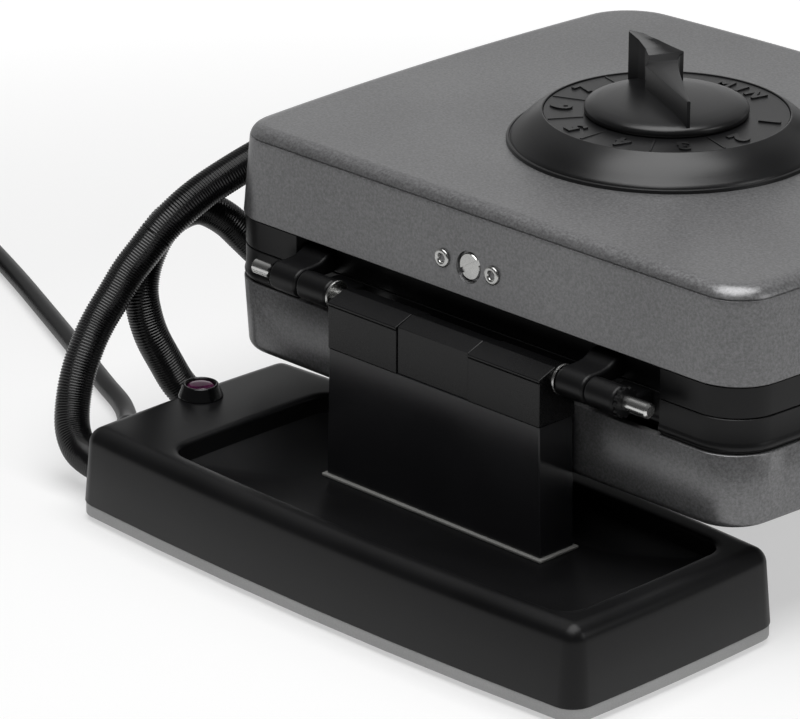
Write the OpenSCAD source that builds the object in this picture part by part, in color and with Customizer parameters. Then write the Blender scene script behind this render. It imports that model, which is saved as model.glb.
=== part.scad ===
// Flip-over waffle maker: two hinged cast halves that open and turn over on a pin,
// carried by a column on a low base, with a dial, a lamp, two hoses and a mains cord.
// Millimetres. +Z is up, -Y is the user's side, and the origin is the middle of the base
// at table level.

/* [Hinge] */
// Height of the hinge pin, where the two halves meet
hinge_z = 94.4; // [93:0.2:98]
// How far the hinge pin lies in front of the middle of the base
hinge_front = 18; // [16:0.5:20]
// Diameter of the hinge pin
pin_d = 6; // [5:0.1:7]
// Outer diameter of the knuckles on the pin
knuckle_d = 12; // [11:0.5:13]
// Length of each inner knuckle
inner_knuckle_l = 16.6; // [14:0.1:18]
// Length of each outer knuckle
outer_knuckle_l = 15.1; // [12:0.1:16]
// Thickness of the washers beside the knuckles
washer_t = 1; // [1:0.1:2.5]
// Length of the pin beyond the outer knuckles
pin_stub_l = 12; // [6:0.5:14]

/* [Iron] */
// Width of the iron at its corners
iron_w = 273.8; // [250:0.2:280]
// Depth of the iron at its corners
iron_d = 234.8; // [220:0.2:240]
// How far each side bulges beyond the corners
iron_side_bow = 4.8; // [4:0.05:10]
// How far the front bulges beyond the corners
iron_front_bow = 5.2; // [2:0.1:8]
// Radius of the rear corners
iron_rear_r = 19; // [18:1:24]
// Radius of the front corners
iron_front_r = 27; // [22:1:32]
// Gap between the pin's axis and the rear face of the iron
iron_back_gap = 10.5; // [10.4:0.1:12]
// Height of each cast frame above or below the joint
frame_h = 12.8; // [12:0.2:15]
// Width of the frame's wall, seen from above
frame_wall = 8.2; // [7:0.2:10]
// Depth of the pocket in the rear of the frames, behind the knuckles
pocket_depth = 5.5; // [4:0.1:6]
// Height of the lower shell's shadow gap under its frame
lip_h = 1.4; // [1:0.1:2]
// Height of the upper shell over its frame
upper_shell_h = 37.1; // [35:0.1:40]
// Height of the lower shell under its lip
lower_shell_h = 30.5; // [26:0.1:32]
// Thickness of the shells
shell_wall = 3; // [2.4:0.1:4]
// Rounding of the upper shell's top edge
upper_fillet = 6.5; // [5:0.5:8]
// Rounding of the lower shell's bottom edge
lower_fillet = 4; // [3:0.5:5]

/* [Waffle plates] */
// Depth of each waffle cavity
cavity_depth = 9; // [7:0.5:9.5]
// Length of each cavity across the iron
cavity_w = 112; // [100:1:114]
// Length of each cavity from front to rear
cavity_l = 176; // [150:1:180]
// Width of the land between the two cavities
centre_land = 10; // [8:1:20]
// Height of the studs that press the pattern
stud_h = 5.5; // [4:0.5:6]
// Width of each stud
stud_w = 15; // [12:0.5:17]
// Number of studs across each cavity
studs_across = 4; // [3:1:5]
// Number of studs along each cavity
studs_along = 6; // [5:1:7]

/* [Heating] */
// Diameter of the tubular heating elements
element_d = 7; // [6:0.5:8]
// Height of the posts that carry the reflectors
reflector_post_h = 10; // [8:0.5:11]
// Thickness of the reflector sheets
reflector_t = 1; // [0.6:0.1:1.5]

/* [Dial] */
// Radius of the dial's outer rim
dial_rim_r = 62.9; // [58:0.1:64]
// Radius of the flat scale ring
scale_ring_r = 49.1; // [46:0.1:52]
// Height of the scale ring over the shell
scale_ring_h = 12.2; // [11.5:0.1:13]
// Distance from the iron's rear face to the dial's centre
dial_setback = 110; // [105:0.5:120]
// Radius of the knob's disc
knob_r = 32.5; // [28:0.5:34]
// Height of the knob's domed disc
knob_dome_h = 5.7; // [5:0.1:7]
// Height of the grip's tall end over the scale ring
grip_high = 23.7; // [22:0.1:27]
// Height of the grip's low end over the scale ring
grip_low = 14.2; // [12:0.1:18]
// Diameter of the thermostat's shaft
shaft_d = 6; // [5:0.1:7]
// Direction of the knob's pointer at rest, from +X towards +Y
pointer_angle = 150.7; // [140:0.1:160]

/* [Base] */
// Width of the base at its corners
base_w = 270.8; // [256:0.2:274]
// Depth of the base at its corners
base_d = 111.8; // [106:0.2:116]
// How much further the base reaches under the iron than behind the column
base_forward = 1.8; // [0:0.1:3]
// How far each end of the base bulges
base_end_bow = 1.2; // [0.6:0.1:4]
// How far the front and rear of the base bulge
base_side_bow = 4.9; // [4:0.1:7]
// Corner radius of the base
base_r = 8.5; // [8:0.5:14]
// Height of the rubber feet
foot_h = 1.9; // [1.5:0.1:3]
// Diameter of the rubber feet
foot_d = 16; // [12:0.5:18]
// Height of the base plate
plate_h = 5; // [4.5:0.1:6]
// Thickness of the base plate's sheet
plate_t = 1.5; // [1:0.1:2]
// Height of the base cover
cover_h = 31.1; // [30.5:0.1:32]
// Thickness of the base cover
cover_wall = 3; // [2.5:0.1:3.5]
// Rounding of the cover's top edge
cover_fillet = 7; // [5:0.5:8]
// Left end of the recess, from the middle of the base
recess_left = 92.3; // [90:0.1:96]
// Right end of the recess, from the middle of the base
recess_right = 120.5; // [118:0.1:122]
// Width of the cover's rim in front of and behind the recess
recess_rim = 11.1; // [10:0.1:12.5]
// Corner radius of the recess
recess_r = 9; // [6:0.5:12]
// Depth of the recess at its outer wall
recess_wall_h = 7.5; // [6:0.1:9]
// Depth of the recess under the column
recess_depth = 16; // [14:0.2:17]

/* [Column] */
// Width of the column at its foot
column_foot_w = 115.8; // [110:0.2:118]
// Width of the column at its top
column_top_w = 113; // [110:0.2:116]
// Depth of the column
column_d = 18.2; // [17:0.1:18.4]
// Thickness of the gasket under the column
gasket_t = 1.2; // [0.8:0.1:1.6]
// How far the gasket shows around the column
gasket_lip = 1.5; // [1:0.1:2]
// Height of the hinge block's flat underside below the pin
block_drop = 18; // [16:0.2:20]
// Height of the hinge block's crest above the pin
block_rise = 4.2; // [4:0.1:4.6]
// Width of the middle hinge block
centre_block_w = 38; // [34:0.5:42]
// Gap between the middle hinge block and each cap
block_gap = 0.2; // [0.1:0.05:0.4]
// Diameter of the bolts through the column
tie_bolt_d = 5; // [4:0.5:6]

/* [Lamp] */
// Distance of the lamp from the left end of the base
lamp_set_in = 10.9; // [10.5:0.1:13]
// Radius of the lamp bezel's foot
lamp_foot_r = 9; // [8:0.5:9.5]
// Radius of the lamp bezel's top
lamp_top_r = 7; // [6:0.5:7.5]
// Height of the lamp bezel
lamp_h = 5.4; // [4:0.1:5.6]

/* [Hoses and cord] */
// Diameter of the two supply hoses
hose_d = 14.5; // [13.5:0.1:15]
// Diameter of the mains cord
cord_d = 8.4; // [8:0.1:8.8]
// Diameter of the coil of spare cord, at the middle of its turns
coil_d = 100; // [96:1:104]

/* [Handles] */
// Width of each grip
handle_w = 68; // [60:1:72]
// Depth of each grip, from front to rear
handle_d = 30; // [26:1:34]
// Height of each grip
handle_h = 15; // [13:0.5:18]
// Room for the fingers between the iron and the grip
finger_gap = 28; // [26:1:36]
// Thickness of the handle brackets
bracket_t = 5; // [4:0.5:6]
// Thickness of the legs
leg_t = 8; // [6:0.5:10]
// Angle by which each half stops short of turning right over
stop_angle = 5; // [5:0.5:8]

/* [Clearances] */
// Running clearance around the pin and the shaft, on the radius
running_gap = 0.05; // [0.02:0.01:0.1]
// Clearance around parts that sit still in a hole or a seat
seat_gap = 0.1; // [0.05:0.01:0.2]
// Gap between pieces that move past each other
moving_gap = 0.3; // [0.2:0.05:0.5]

/* [Hidden] */
$fn = 48;
e = 1;
arc_steps = 5;
side_steps = 6;

// Heights, from the table up
plate_z = foot_h;
cover_z = plate_z + plate_h;
deck_z = cover_z + cover_h;
recess_z = deck_z - recess_depth;
column_z = recess_z + gasket_t;
block_z = hinge_z - block_drop;
lower_top = hinge_z - moving_gap / 2;
upper_bottom = hinge_z + moving_gap / 2;
lower_frame_z = hinge_z - frame_h - lip_h;
lower_rim_z = lower_frame_z + lip_h;
lower_bottom = lower_frame_z - lower_shell_h;
upper_frame_z = hinge_z + frame_h;
shell_top = upper_frame_z + upper_shell_h;
ring_z = shell_top + scale_ring_h;

// Plan positions
pin_y = -hinge_front;
pin_r = pin_d / 2;
pin_bore_r = pin_r + running_gap;
iron_a = iron_w / 2;
iron_b = iron_d / 2;
rear_y = pin_y - iron_back_gap;
iron_y = rear_y - iron_b;
front_y = rear_y - iron_d - iron_front_bow;
dial_y = rear_y - dial_setback;
base_a = base_w / 2;
base_b = base_d / 2;
lamp_left = base_a - lamp_set_in;
lamp_y = -3;

// Plate outlines, as insets from the iron's outline
frame_inset = 0.8;
lip_inset = 1.5;
plate_inset = frame_inset + frame_wall;
ledge_w = 5;
ledge_t = 2.4;
ledge_inset = plate_inset + ledge_w;

// Knuckles along the pin: [start, end]
block_half = column_top_w / 2 + 0.2;
left_knuckle_x = 62.4;
right_washer_gap = 2.5;
right_inner_l = 14.4;
right_outer_l = 15;
left_clip_t = 1;
right_clip_t = 1.6;
pin_chamfer = 1.5;
left_inner = [left_knuckle_x, left_knuckle_x + inner_knuckle_l];
left_outer = [left_inner[1] + moving_gap, left_inner[1] + moving_gap + outer_knuckle_l];
right_washer = [-block_half - right_washer_gap - washer_t, -block_half - right_washer_gap];
right_inner = [right_washer[0] - moving_gap - right_inner_l, right_washer[0] - moving_gap];
right_outer = [right_inner[0] - moving_gap - right_outer_l, right_inner[0] - moving_gap];
left_washer = [left_inner[0] - moving_gap - washer_t, left_inner[0] - moving_gap];
left_clip = [left_outer[1] + moving_gap, left_outer[1] + moving_gap + left_clip_t];
right_clip = [right_outer[0] - moving_gap - right_clip_t, right_outer[0] - moving_gap];
pin_left = left_clip[1] + pin_stub_l;
pin_right = right_clip[0] - pin_stub_l;
pocket_x = [-97, 95];
knuckle_z = 5.8;

// Supply glands in the base's left end: [y, z]
gland_set_in = 3.4;
gland_flange_t = 8.8;
gland_bore_r = 4;
cord_sleeve_l = 22.5;
gland_x = base_a + base_end_bow - gland_set_in;
gland_face_x = gland_x + gland_flange_t;
upper_gland = [34, 13.5];
lower_gland = [-27, 20];
cord_gland_at = [-3, 13];
gland_r = 8.6;
gland_neck_r = 5.5;
hose_r = hose_d / 2;
cord_r = cord_d / 2;

// Fittings on the iron's left side, where the hoses end: [x, y, z]
upper_fitting_at = [149.5, -95, 123.5];
lower_fitting_at = [150, -100, 66];
fitting_size = [19, 20, 20];

// A route whose first and last points are moved to the places that they belong to
function led(route, from, to) = let(n = len(route) - 1) [for (i = [0:n])
    route[i] + (1 - i / n) * (from - route[0]) + i / n * (to - route[n])];

// Hose and cord routes, chosen by eye
upper_hose_path = led([
    [142, 34, 13.5], [148, 34, 13.5], [157, 33.5, 16], [164, 31, 22], [168, 27, 31],
    [169.5, 22.5, 42], [169.5, 17, 53], [169, 11, 62], [167, 5, 71], [165, -1.5, 80.5],
    [162, -8, 89], [159.5, -15, 97], [156.5, -23, 104], [154.5, -33, 109.5], [152, -43, 114],
    [150.5, -54, 117.5], [149.5, -66, 120.5], [149.5, -80, 122.8], [149.5, -88, 123.5],
    [149.5, -94.7, 123.5]],
    [gland_face_x, upper_gland[0], upper_gland[1]], upper_fitting_at + [0, moving_gap, 0]);
lower_hose_path = led([
    [142, -27, 20], [147, -27, 20], [154, -25.5, 22], [159, -22, 28], [162.5, -18, 38],
    [165.5, -14, 48.5], [168, -12.4, 58], [170, -12.4, 68], [171.5, -16.5, 79], [171, -24, 90.5],
    [168.5, -32, 96.5], [165, -41, 98], [160, -50, 92], [156, -57, 83.5], [153, -65, 74.5],
    [150.5, -75, 68], [150, -88, 66], [150, -94, 66], [150, -99.7, 66]],
    [gland_face_x, lower_gland[0], lower_gland[1]], lower_fitting_at + [0, moving_gap, 0]);
cord_path = led([
    [164.4, -3, 13], [169, -3, 12.6], [174, -6, 9.2], [182, -12, 5.6], [190, -19.5, 4.2],
    [203, -29, 4.2], [223, -38, 4.2], [248, -47.5, 4.2], [275, -58, 4.2], [305, -73, 4.2],
    [338, -90, 4.2], [370, -105, 4.2], [393, -113.5, 4.2], [414, -116.4, 4.2]],
    [gland_face_x + cord_sleeve_l - 0.1, cord_gland_at[0], cord_gland_at[1]], [414, -116.4, cord_r]);
lead_path = [
    [484.5, -52, 4.2], [484.5, -38, 4.2], [484, -22, 4.2], [483, -6, 4.2], [482, 6, 4.2],
    [482, 12, 4.2]];
coil_centre = [430, -62];
layer_nesting = 0.4;
coil_z = 2 * cord_d - layer_nesting;
plug_at = lead_path[len(lead_path) - 1];
plug_l = 44;
plug_r = 17;
plug_neck_l = 16;
plug_neck_r = cord_r + 1.4;
plug_pin_r = 2.4;
plug_pin_l = 19;
plug_pin_x = 9.5;

/* ---- Shapes shared by several pieces ---- */

// A quarter arc about a corner's centre, as points
function arc(c, r, from) = [for (i = [0:arc_steps])
    c + r * [cos(from + 90 * i / arc_steps), sin(from + 90 * i / arc_steps)]];

// The inner points of a straight run from p to q
function run(p, q) = [for (i = [1:side_steps - 1]) p + (q - p) * i / side_steps];

// A rounded rectangle of half sizes a and b, with its own radii at the rear and at the front
function rounded_rect(a, b, rear_r, front_r) = let(
        c1 = arc([a - rear_r, b - rear_r], rear_r, 0),
        c2 = arc([rear_r - a, b - rear_r], rear_r, 90),
        c3 = arc([front_r - a, front_r - b], front_r, 180),
        c4 = arc([a - front_r, front_r - b], front_r, 270),
        m = arc_steps)
    concat(c1, run(c1[m], c2[0]), c2, run(c2[m], c3[0]), c3, run(c3[m], c4[0]), c4, run(c4[m], c1[0]));

// The same points with bulging sides: bow = [ends, front, rear]
function bowed(points, a, b, bow) = [for (p = points) [
    p[0] * (1 + bow[0] / a * (1 - pow(p[1] / b, 2))),
    p[1] * (1 + (p[1] < 0 ? bow[1] : bow[2]) / b * (1 - pow(p[0] / a, 2)))]];

// Points moved in plan and given a height
function placed(points, at, z) = [for (p = points) [p[0] + at[0], p[1] + at[1], z]];

// The iron's outline in plan, set in by a distance
function iron_plan(inset) = bowed(
    rounded_rect(iron_a - inset, iron_b - inset, max(iron_rear_r - inset, 6), max(iron_front_r - inset, 8)),
    iron_a - inset, iron_b - inset, [iron_side_bow, iron_front_bow, 0]);
function iron_ring(inset, z) = placed(iron_plan(inset), [0, iron_y], z);

// The base's outline in plan, set in by a distance
function base_corner(inset) = max(base_r - inset, 1.5);
function base_plan(inset) = bowed(
    rounded_rect(base_a - inset, base_b - inset, base_corner(inset), base_corner(inset)),
    base_a - inset, base_b - inset, [base_end_bow, base_side_bow, base_side_bow]);
function base_ring(inset, z) = placed(base_plan(inset), [0, -base_forward], z);

// A solid through rings of points, stacked from the first to the last
module loft(rings) {
    n = len(rings[0]);
    last = len(rings) - 1;
    sides = [for (k = [0:last - 1]) for (i = [0:n - 1]) let(j = (i + 1) % n)
        each [[k * n + i, (k + 1) * n + i, (k + 1) * n + j], [k * n + i, (k + 1) * n + j, k * n + j]]];
    polyhedron(
        points = [for (ring = rings) each ring],
        faces = concat([[for (i = [0:n - 1]) i]], sides, [[for (i = [n - 1:-1:0]) last * n + i]]));
}

// A slab of the iron's outline between two heights
module iron_slab(inset, z0, z1) {
    translate([0, iron_y, z0])
        linear_extrude(z1 - z0)
            polygon(iron_plan(inset));
}

// A plain block given by its ranges
module block(x, y, z) {
    translate([x[0], y[0], z[0]])
        cube([x[1] - x[0], y[1] - y[0], z[1] - z[0]]);
}

// A rod along X, Y or Z between two places on that axis
module rod_x(r, x, at) {
    translate([x[0], at[0], at[1]])
        rotate([0, 90, 0])
            cylinder(h = x[1] - x[0], r = r);
}
module rod_y(r, y, at) {
    translate([at[0], y[0], at[1]])
        rotate([-90, 0, 0])
            cylinder(h = y[1] - y[0], r = r);
}
module rod_z(r, z, at) {
    translate([at[0], at[1], z[0]])
        cylinder(h = z[1] - z[0], r = r);
}

// The hole for the hinge pin, through everything that it carries
module pin_bore(x) {
    rod_x(pin_bore_r, x, [pin_y, hinge_z]);
}

// A tube swept along a route without twisting
function unit(v) = v / norm(v);
function heading(p, i) = unit(p[min(i + 1, len(p) - 1)] - p[max(i - 1, 0)]);
function sides_along(p, i, u) = i == len(p) ? [] :
    let(t = heading(p, i), v = unit(u - (u * t) * t)) concat([[v, cross(t, v)]], sides_along(p, i + 1, v));
module tube(path, r, n) {
    axes = sides_along(path, 0, [0, 0, 1]);
    loft([for (i = [0:len(path) - 1]) [for (k = [0:n - 1])
        path[i] + r * (cos(360 * k / n) * axes[i][0] + sin(360 * k / n) * axes[i][1])]]);
}

/* ---- Base ---- */

base_screw_at = [[-121, -39], [-121, 39], [114, -39], [114, 39]];
foot_at = [[-98, -38], [-98, 38], [98, -38], [98, 38]];
anchor_x = [-60, 60];
bolt_at = [-48, -28, 28, 48];
bolt_grip_l = 8;
bolt_head_t = 3.5;
cover_draft = 0.085;
flat_margin = 4;
flat_r = 3;
flat_bow = [0.5, 0.5, 0.5];
rim_bow = [0.9, 2.85, 2.85];
plate_set_in = 0.3;
boss_r = 4.5;
pilot_r = 1.6;
foot_plug_r = 3;
cover_side_h = cover_h - cover_fillet;

// The solid block of the cover, set in by a wall
module cover_block(wall) {
    top = cover_z + cover_h - wall;
    lean = cover_draft * cover_side_h;
    fillet = cover_fillet - wall;
    loft(concat(
        [base_ring(wall, wall == 0 ? cover_z : cover_z - e)],
        [for (a = [0:22.5:90]) base_ring(wall + lean + fillet * (1 - cos(a)),
        top - fillet + fillet * sin(a))]));
}

// The dished recess, grown by a skin for the hollow under it
module recess_block(skin) {
    mid_x = (recess_left - recess_right) / 2;
    a = (recess_left + recess_right) / 2 + skin;
    b = base_b - base_forward - recess_rim + skin;
    flat_a = column_foot_w / 2 + flat_margin + skin;
    flat_b = column_d / 2 + flat_margin + skin;
    rim = placed(bowed(rounded_rect(a, b, recess_r, recess_r), a, b, rim_bow), [mid_x, 0], 0);
    flat_plan = rounded_rect(flat_a, flat_b, flat_r, flat_r);
    flat = placed(bowed(flat_plan, flat_a, flat_b, flat_bow), [0, pin_y], 0);
    drop = recess_depth - recess_wall_h;
    loft(concat(
        [for (s = [1, 0.8, 0.55, 0.3, 0.1, 0]) [for (i = [0:len(rim) - 1])
            rim[i] + s * (flat[i] - rim[i]) + [0, 0, deck_z - recess_wall_h - skin - drop * sin(90 * s)]]],
        [[for (p = rim) p + [0, 0, deck_z + e]]]));
}

module base_cover() color([0.07, 0.07, 0.08]) {
    difference() {
        union() {
            difference() {
                cover_block(0);
                difference() {
                    cover_block(cover_wall);
                    recess_block(cover_wall);
                }
            }
            rod_z(lamp_foot_r + 0.6, [deck_z - 6, deck_z], [lamp_left, lamp_y]);
            for (p = base_screw_at)
                rod_z(boss_r, [plate_z + plate_t, deck_z - 2], p);
        }
        recess_block(0);
        rod_z(lamp_top_r - 1 + seat_gap, [deck_z - 7, deck_z + e], [lamp_left, lamp_y]);
        for (p = base_screw_at)
            rod_z(pilot_r, [0, recess_z - 2], p);
        for (x = bolt_at)
            rod_z(tie_bolt_d / 2 + seat_gap, [0, deck_z], [x, pin_y]);
        for (p = [upper_gland, lower_gland, cord_gland_at]) {
            rod_x(gland_neck_r + seat_gap, [base_a - 8, gland_face_x], p);
            rod_x(gland_r + seat_gap, [gland_x, gland_face_x], p);
        }
    }
}

module base_plate() color([0.62, 0.62, 0.62]) {
    difference() {
        translate([0, 0, plate_z])
            linear_extrude(plate_h)
                translate([0, -base_forward])
                    polygon(base_plan(plate_set_in));
        translate([0, 0, plate_z + plate_t])
            linear_extrude(plate_h)
                translate([0, -base_forward])
                    polygon(base_plan(plate_set_in + plate_t));
        for (p = base_screw_at)
            rod_z(pilot_r + seat_gap, [0, cover_z], p);
        for (p = foot_at)
            rod_z(foot_plug_r + seat_gap, [0, cover_z], p);
        for (p = [upper_gland, lower_gland, cord_gland_at])
            rod_x(gland_r + seat_gap, [gland_x - seat_gap, gland_face_x], p);
    }
}

module rubber_feet() color([0.1, 0.1, 0.1]) {
    for (p = foot_at) {
        rod_z(foot_d / 2, [0, plate_z], p);
        rod_z(foot_plug_r, [plate_z - 0.5, plate_z + plate_t + 1], p);
        rod_z(foot_plug_r + 1.5, [plate_z + plate_t, plate_z + plate_t + 1.2], p);
    }
}

module base_screws() color([0.6, 0.6, 0.6]) {
    for (p = base_screw_at) {
        rod_z(3.2, [plate_z - 1.3, plate_z], p);
        rod_z(1.5, [plate_z - 0.5, recess_z - 3], p);
    }
}

module column_anchor() color([0.7, 0.7, 0.7]) {
    z = [plate_z + plate_t, recess_z - cover_wall];
    difference() {
        block(anchor_x, [pin_y - column_d / 2, pin_y + column_d / 2], z);
        block([anchor_x[0] - e, anchor_x[1] + e], [pin_y - column_d / 2 + 3, pin_y + column_d / 2 - 3],
            [z[0] - e, z[1] - 3]);
        for (x = bolt_at)
            rod_z(tie_bolt_d / 2 + seat_gap, [0, deck_z], [x, pin_y]);
    }
}

/* ---- Column and hinge ---- */

module column_gasket() color([0.75, 0.75, 0.73]) {
    x = column_foot_w / 2 + gasket_lip;
    y = column_d / 2 + gasket_lip;
    difference() {
        block([-x, x], [pin_y - y, pin_y + y], [recess_z, column_z]);
        for (x = bolt_at)
            rod_z(tie_bolt_d / 2 + seat_gap, [0, deck_z], [x, pin_y]);
    }
}

module column() color([0.06, 0.06, 0.07]) {
    foot = column_foot_w / 2;
    top = column_top_w / 2;
    difference() {
        translate([0, pin_y + column_d / 2, 0])
            rotate([90, 0, 0])
                linear_extrude(column_d)
                    polygon([[-foot, column_z], [foot, column_z], [top, block_z], [-top, block_z]]);
        for (x = bolt_at)
            rod_z(tie_bolt_d / 2 + seat_gap, [0, hinge_z], [x, pin_y]);
    }
}

module tie_bolts() color([0.7, 0.7, 0.7]) {
    head_top = recess_z - cover_wall - 3;
    for (x = bolt_at) {
        rod_z(tie_bolt_d / 2, [head_top - 1, block_z + bolt_grip_l], [x, pin_y]);
        rod_z(tie_bolt_d / 2 + 1.5, [head_top - bolt_head_t, head_top], [x, pin_y]);
    }
}

eave_z = 1.1;
cap_proud = 0.7;
centre_set_in = 0.2;

// One segment of the house-shaped hinge block, with the bore for the pin
module hinge_block(x, proud) {
    y0 = -column_d / 2 - proud;
    y1 = column_d / 2 + proud;
    difference() {
        translate([x[0], pin_y, hinge_z])
            rotate([90, 0, 90])
                linear_extrude(x[1] - x[0])
                    polygon([
                        [y0, -block_drop], [y1, -block_drop], [y1, eave_z], [1, block_rise], [y0, eave_z]]);
        pin_bore([x[0] - e, x[1] + e]);
        for (b = bolt_at)
            rod_z(tie_bolt_d / 2 + seat_gap, [block_z - e, block_z + bolt_grip_l + 0.2], [b, pin_y]);
    }
}

module hinge_cap_left() color([0.06, 0.06, 0.07])
    hinge_block([centre_block_w / 2 + block_gap, block_half], cap_proud);
module hinge_cap_right() color([0.06, 0.06, 0.07])
    hinge_block([-block_half, -centre_block_w / 2 - block_gap], cap_proud);
module hinge_centre_block() color([0.07, 0.07, 0.08])
    hinge_block([-centre_block_w / 2, centre_block_w / 2], -centre_set_in);

module hinge_pin() color([0.8, 0.8, 0.8]) {
    rod_x(pin_r, [pin_right + pin_chamfer, pin_left], [pin_y, hinge_z]);
    translate([pin_right + pin_chamfer, pin_y, hinge_z])
        rotate([0, -90, 0])
            cylinder(h = pin_chamfer, r1 = pin_r, r2 = pin_r - 1);
}

// A flat ring on the pin
module pin_ring(x, r) {
    difference() {
        rod_x(r, x, [pin_y, hinge_z]);
        pin_bore([x[0] - e, x[1] + e]);
    }
}

module hinge_washers() color([0.75, 0.75, 0.75]) {
    pin_ring(left_washer, knuckle_d / 2);
    pin_ring(right_washer, knuckle_d / 2);
}

module pin_clips() color([0.7, 0.7, 0.7]) {
    pin_ring(left_clip, knuckle_d / 2 - 0.5);
    pin_ring(right_clip, knuckle_d / 2);
}

/* ---- Lamp and supply ---- */

module lamp_bezel() color([0.08, 0.08, 0.08]) {
    at = [lamp_left, lamp_y];
    difference() {
        union() {
            rod_z(lamp_top_r - 1, [deck_z - 6, deck_z + 1], at);
            translate([at[0], at[1], deck_z])
                cylinder(h = lamp_h, r1 = lamp_foot_r, r2 = lamp_top_r);
        }
        rod_z(lamp_top_r - 2.4, [deck_z - 7, deck_z + lamp_h - 1.5], at);
        rod_z(lamp_top_r - 1.5, [deck_z + lamp_h - 2, deck_z + lamp_h + e], at);
    }
}

module lamp_lens() color([0.35, 0.05, 0.15]) {
    at = [lamp_left, lamp_y];
    rod_z(lamp_top_r - 2.5, [deck_z + lamp_h - 3, deck_z + lamp_h - 1.5], at);
    rod_z(lamp_top_r - 1.6, [deck_z + lamp_h - 2, deck_z + lamp_h], at);
}

module neon_lamp() color([0.9, 0.5, 0.3])
    rod_z(lamp_top_r - 4, [deck_z - 8, deck_z + lamp_h - 3], [lamp_left, lamp_y]);

terminal_x = [100, 114];
terminal_y = [-20, 26];
terminal_h = 14;
terminal_pitch = 8;
terminal_bore_r = 2.2;
module terminal_block() color([0.85, 0.82, 0.72]) {
    z0 = plate_z + plate_t;
    difference() {
        block(terminal_x, terminal_y, [z0, z0 + terminal_h]);
        for (i = [0:4])
            rod_x(terminal_bore_r, [terminal_x[0] - e, terminal_x[1] + e],
                [terminal_y[0] + 6 + terminal_pitch * i, z0 + terminal_h / 2]);
    }
}

// A flanged gland that holds a lead in the base's end wall
module gland(at, bore_r) {
    difference() {
        union() {
            rod_x(gland_neck_r, [base_a - 7, gland_x + e], at);
            rod_x(gland_r, [gland_x, gland_face_x], at);
        }
        rod_x(bore_r, [base_a - 8, gland_x + 2], at);
    }
}

module hose_glands() color([0.1, 0.1, 0.1]) {
    gland(upper_gland, gland_bore_r);
    gland(lower_gland, gland_bore_r);
}

module cord_gland() color([0.1, 0.1, 0.1]) {
    gland(cord_gland_at, gland_bore_r);
    translate([gland_face_x - 0.5, cord_gland_at[0], cord_gland_at[1]])
        rotate([0, 90, 0])
            cylinder(h = cord_sleeve_l, r1 = gland_r - 1.2, r2 = cord_r + 0.9);
}

module upper_hose() color([0.1, 0.1, 0.1])
    tube(upper_hose_path, hose_r, 12);
module lower_hose() color([0.1, 0.1, 0.1])
    tube(lower_hose_path, hose_r, 12);
module power_cord() color([0.06, 0.06, 0.06])
    tube(cord_path, cord_r, 10);
module plug_lead() color([0.06, 0.06, 0.06])
    tube(lead_path, cord_r, 10);

module cord_coil() color([0.06, 0.06, 0.06])
    translate([coil_centre[0], coil_centre[1], 0])
        rotate_extrude()
            translate([coil_d / 2 - cord_d, 0])
                square([2 * cord_d, coil_z]);

module mains_plug() color([0.07, 0.07, 0.07]) {
    at = [plug_at[0], plug_r];
    translate([plug_at[0], plug_at[1], plug_neck_r])
        rotate([-90, 0, 0])
            cylinder(h = plug_neck_l, r1 = cord_r + 1, r2 = plug_neck_r);
    rod_y(plug_r, [plug_at[1] + plug_neck_l - 1, plug_at[1] + plug_l], at);
    for (s = [-1, 1])
        rod_y(plug_pin_r, [plug_at[1] + plug_l, plug_at[1] + plug_l + plug_pin_l],
            [plug_at[0] + plug_pin_x * s, plug_r]);
}

/* ---- Iron ---- */

post_x = 129;
post_y = 50;
post_r = 4;
post_at = [for (x = [-post_x, post_x], y = [iron_y - post_y, iron_y + post_y]) [x, y]];
upper_draft = 0.084;
tab_half_w = 24;
tab_h = 20;
post_bore_r = 1.6;
post_screw_r = 1.5;
fastener_bore_r = 2;
lower_draft = 0.06;

// A knuckle on the pin, and its arm into the rear wall of a frame
module knuckle(x, up) {
    arm_z = up > 0 ? [upper_bottom, hinge_z + knuckle_z] : [hinge_z - knuckle_z, lower_top];
    difference() {
        union() {
            rod_x(knuckle_d / 2, x, [pin_y, hinge_z]);
            block(x, [rear_y - pocket_depth - 1, pin_y], arm_z);
        }
        pin_bore([x[0] - e, x[1] + e]);
    }
}

// The ring of a frame, with a ledge that backs the plate and a pocket at the rear
module frame_ring(z0, z1, ledge_z0, ledge_z1) {
    difference() {
        union() {
            difference() {
                iron_slab(frame_inset, z0, z1);
                iron_slab(plate_inset, z0 - e, z1 + e);
            }
            difference() {
                iron_slab(plate_inset - e, ledge_z0, ledge_z1);
                iron_slab(ledge_inset, ledge_z0 - e, ledge_z1 + e);
            }
        }
        block(pocket_x, [rear_y - pocket_depth, pin_y], [z0 - e, z1 + e]);
    }
}

module lower_frame() color([0.07, 0.07, 0.07]) {
    difference() {
        union() {
            frame_ring(lower_rim_z, lower_top, lower_rim_z, lower_rim_z + ledge_t);
            difference() {
                iron_slab(lip_inset, lower_frame_z, lower_rim_z + e);
                iron_slab(plate_inset, lower_frame_z - e, lower_rim_z + 2 * e);
                block(pocket_x, [tab_y, pin_y], [lower_frame_z - e, lower_rim_z + 2 * e]);
            }
            for (p = post_at)
                rod_z(post_r, [lower_rim_z - reflector_post_h, lower_rim_z + 1], p);
            knuckle(left_inner, -1);
            knuckle(right_outer, -1);
        }
        for (p = post_at)
            rod_z(post_bore_r, [lower_rim_z - reflector_post_h - e, lower_rim_z], p);
    }
}

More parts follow.
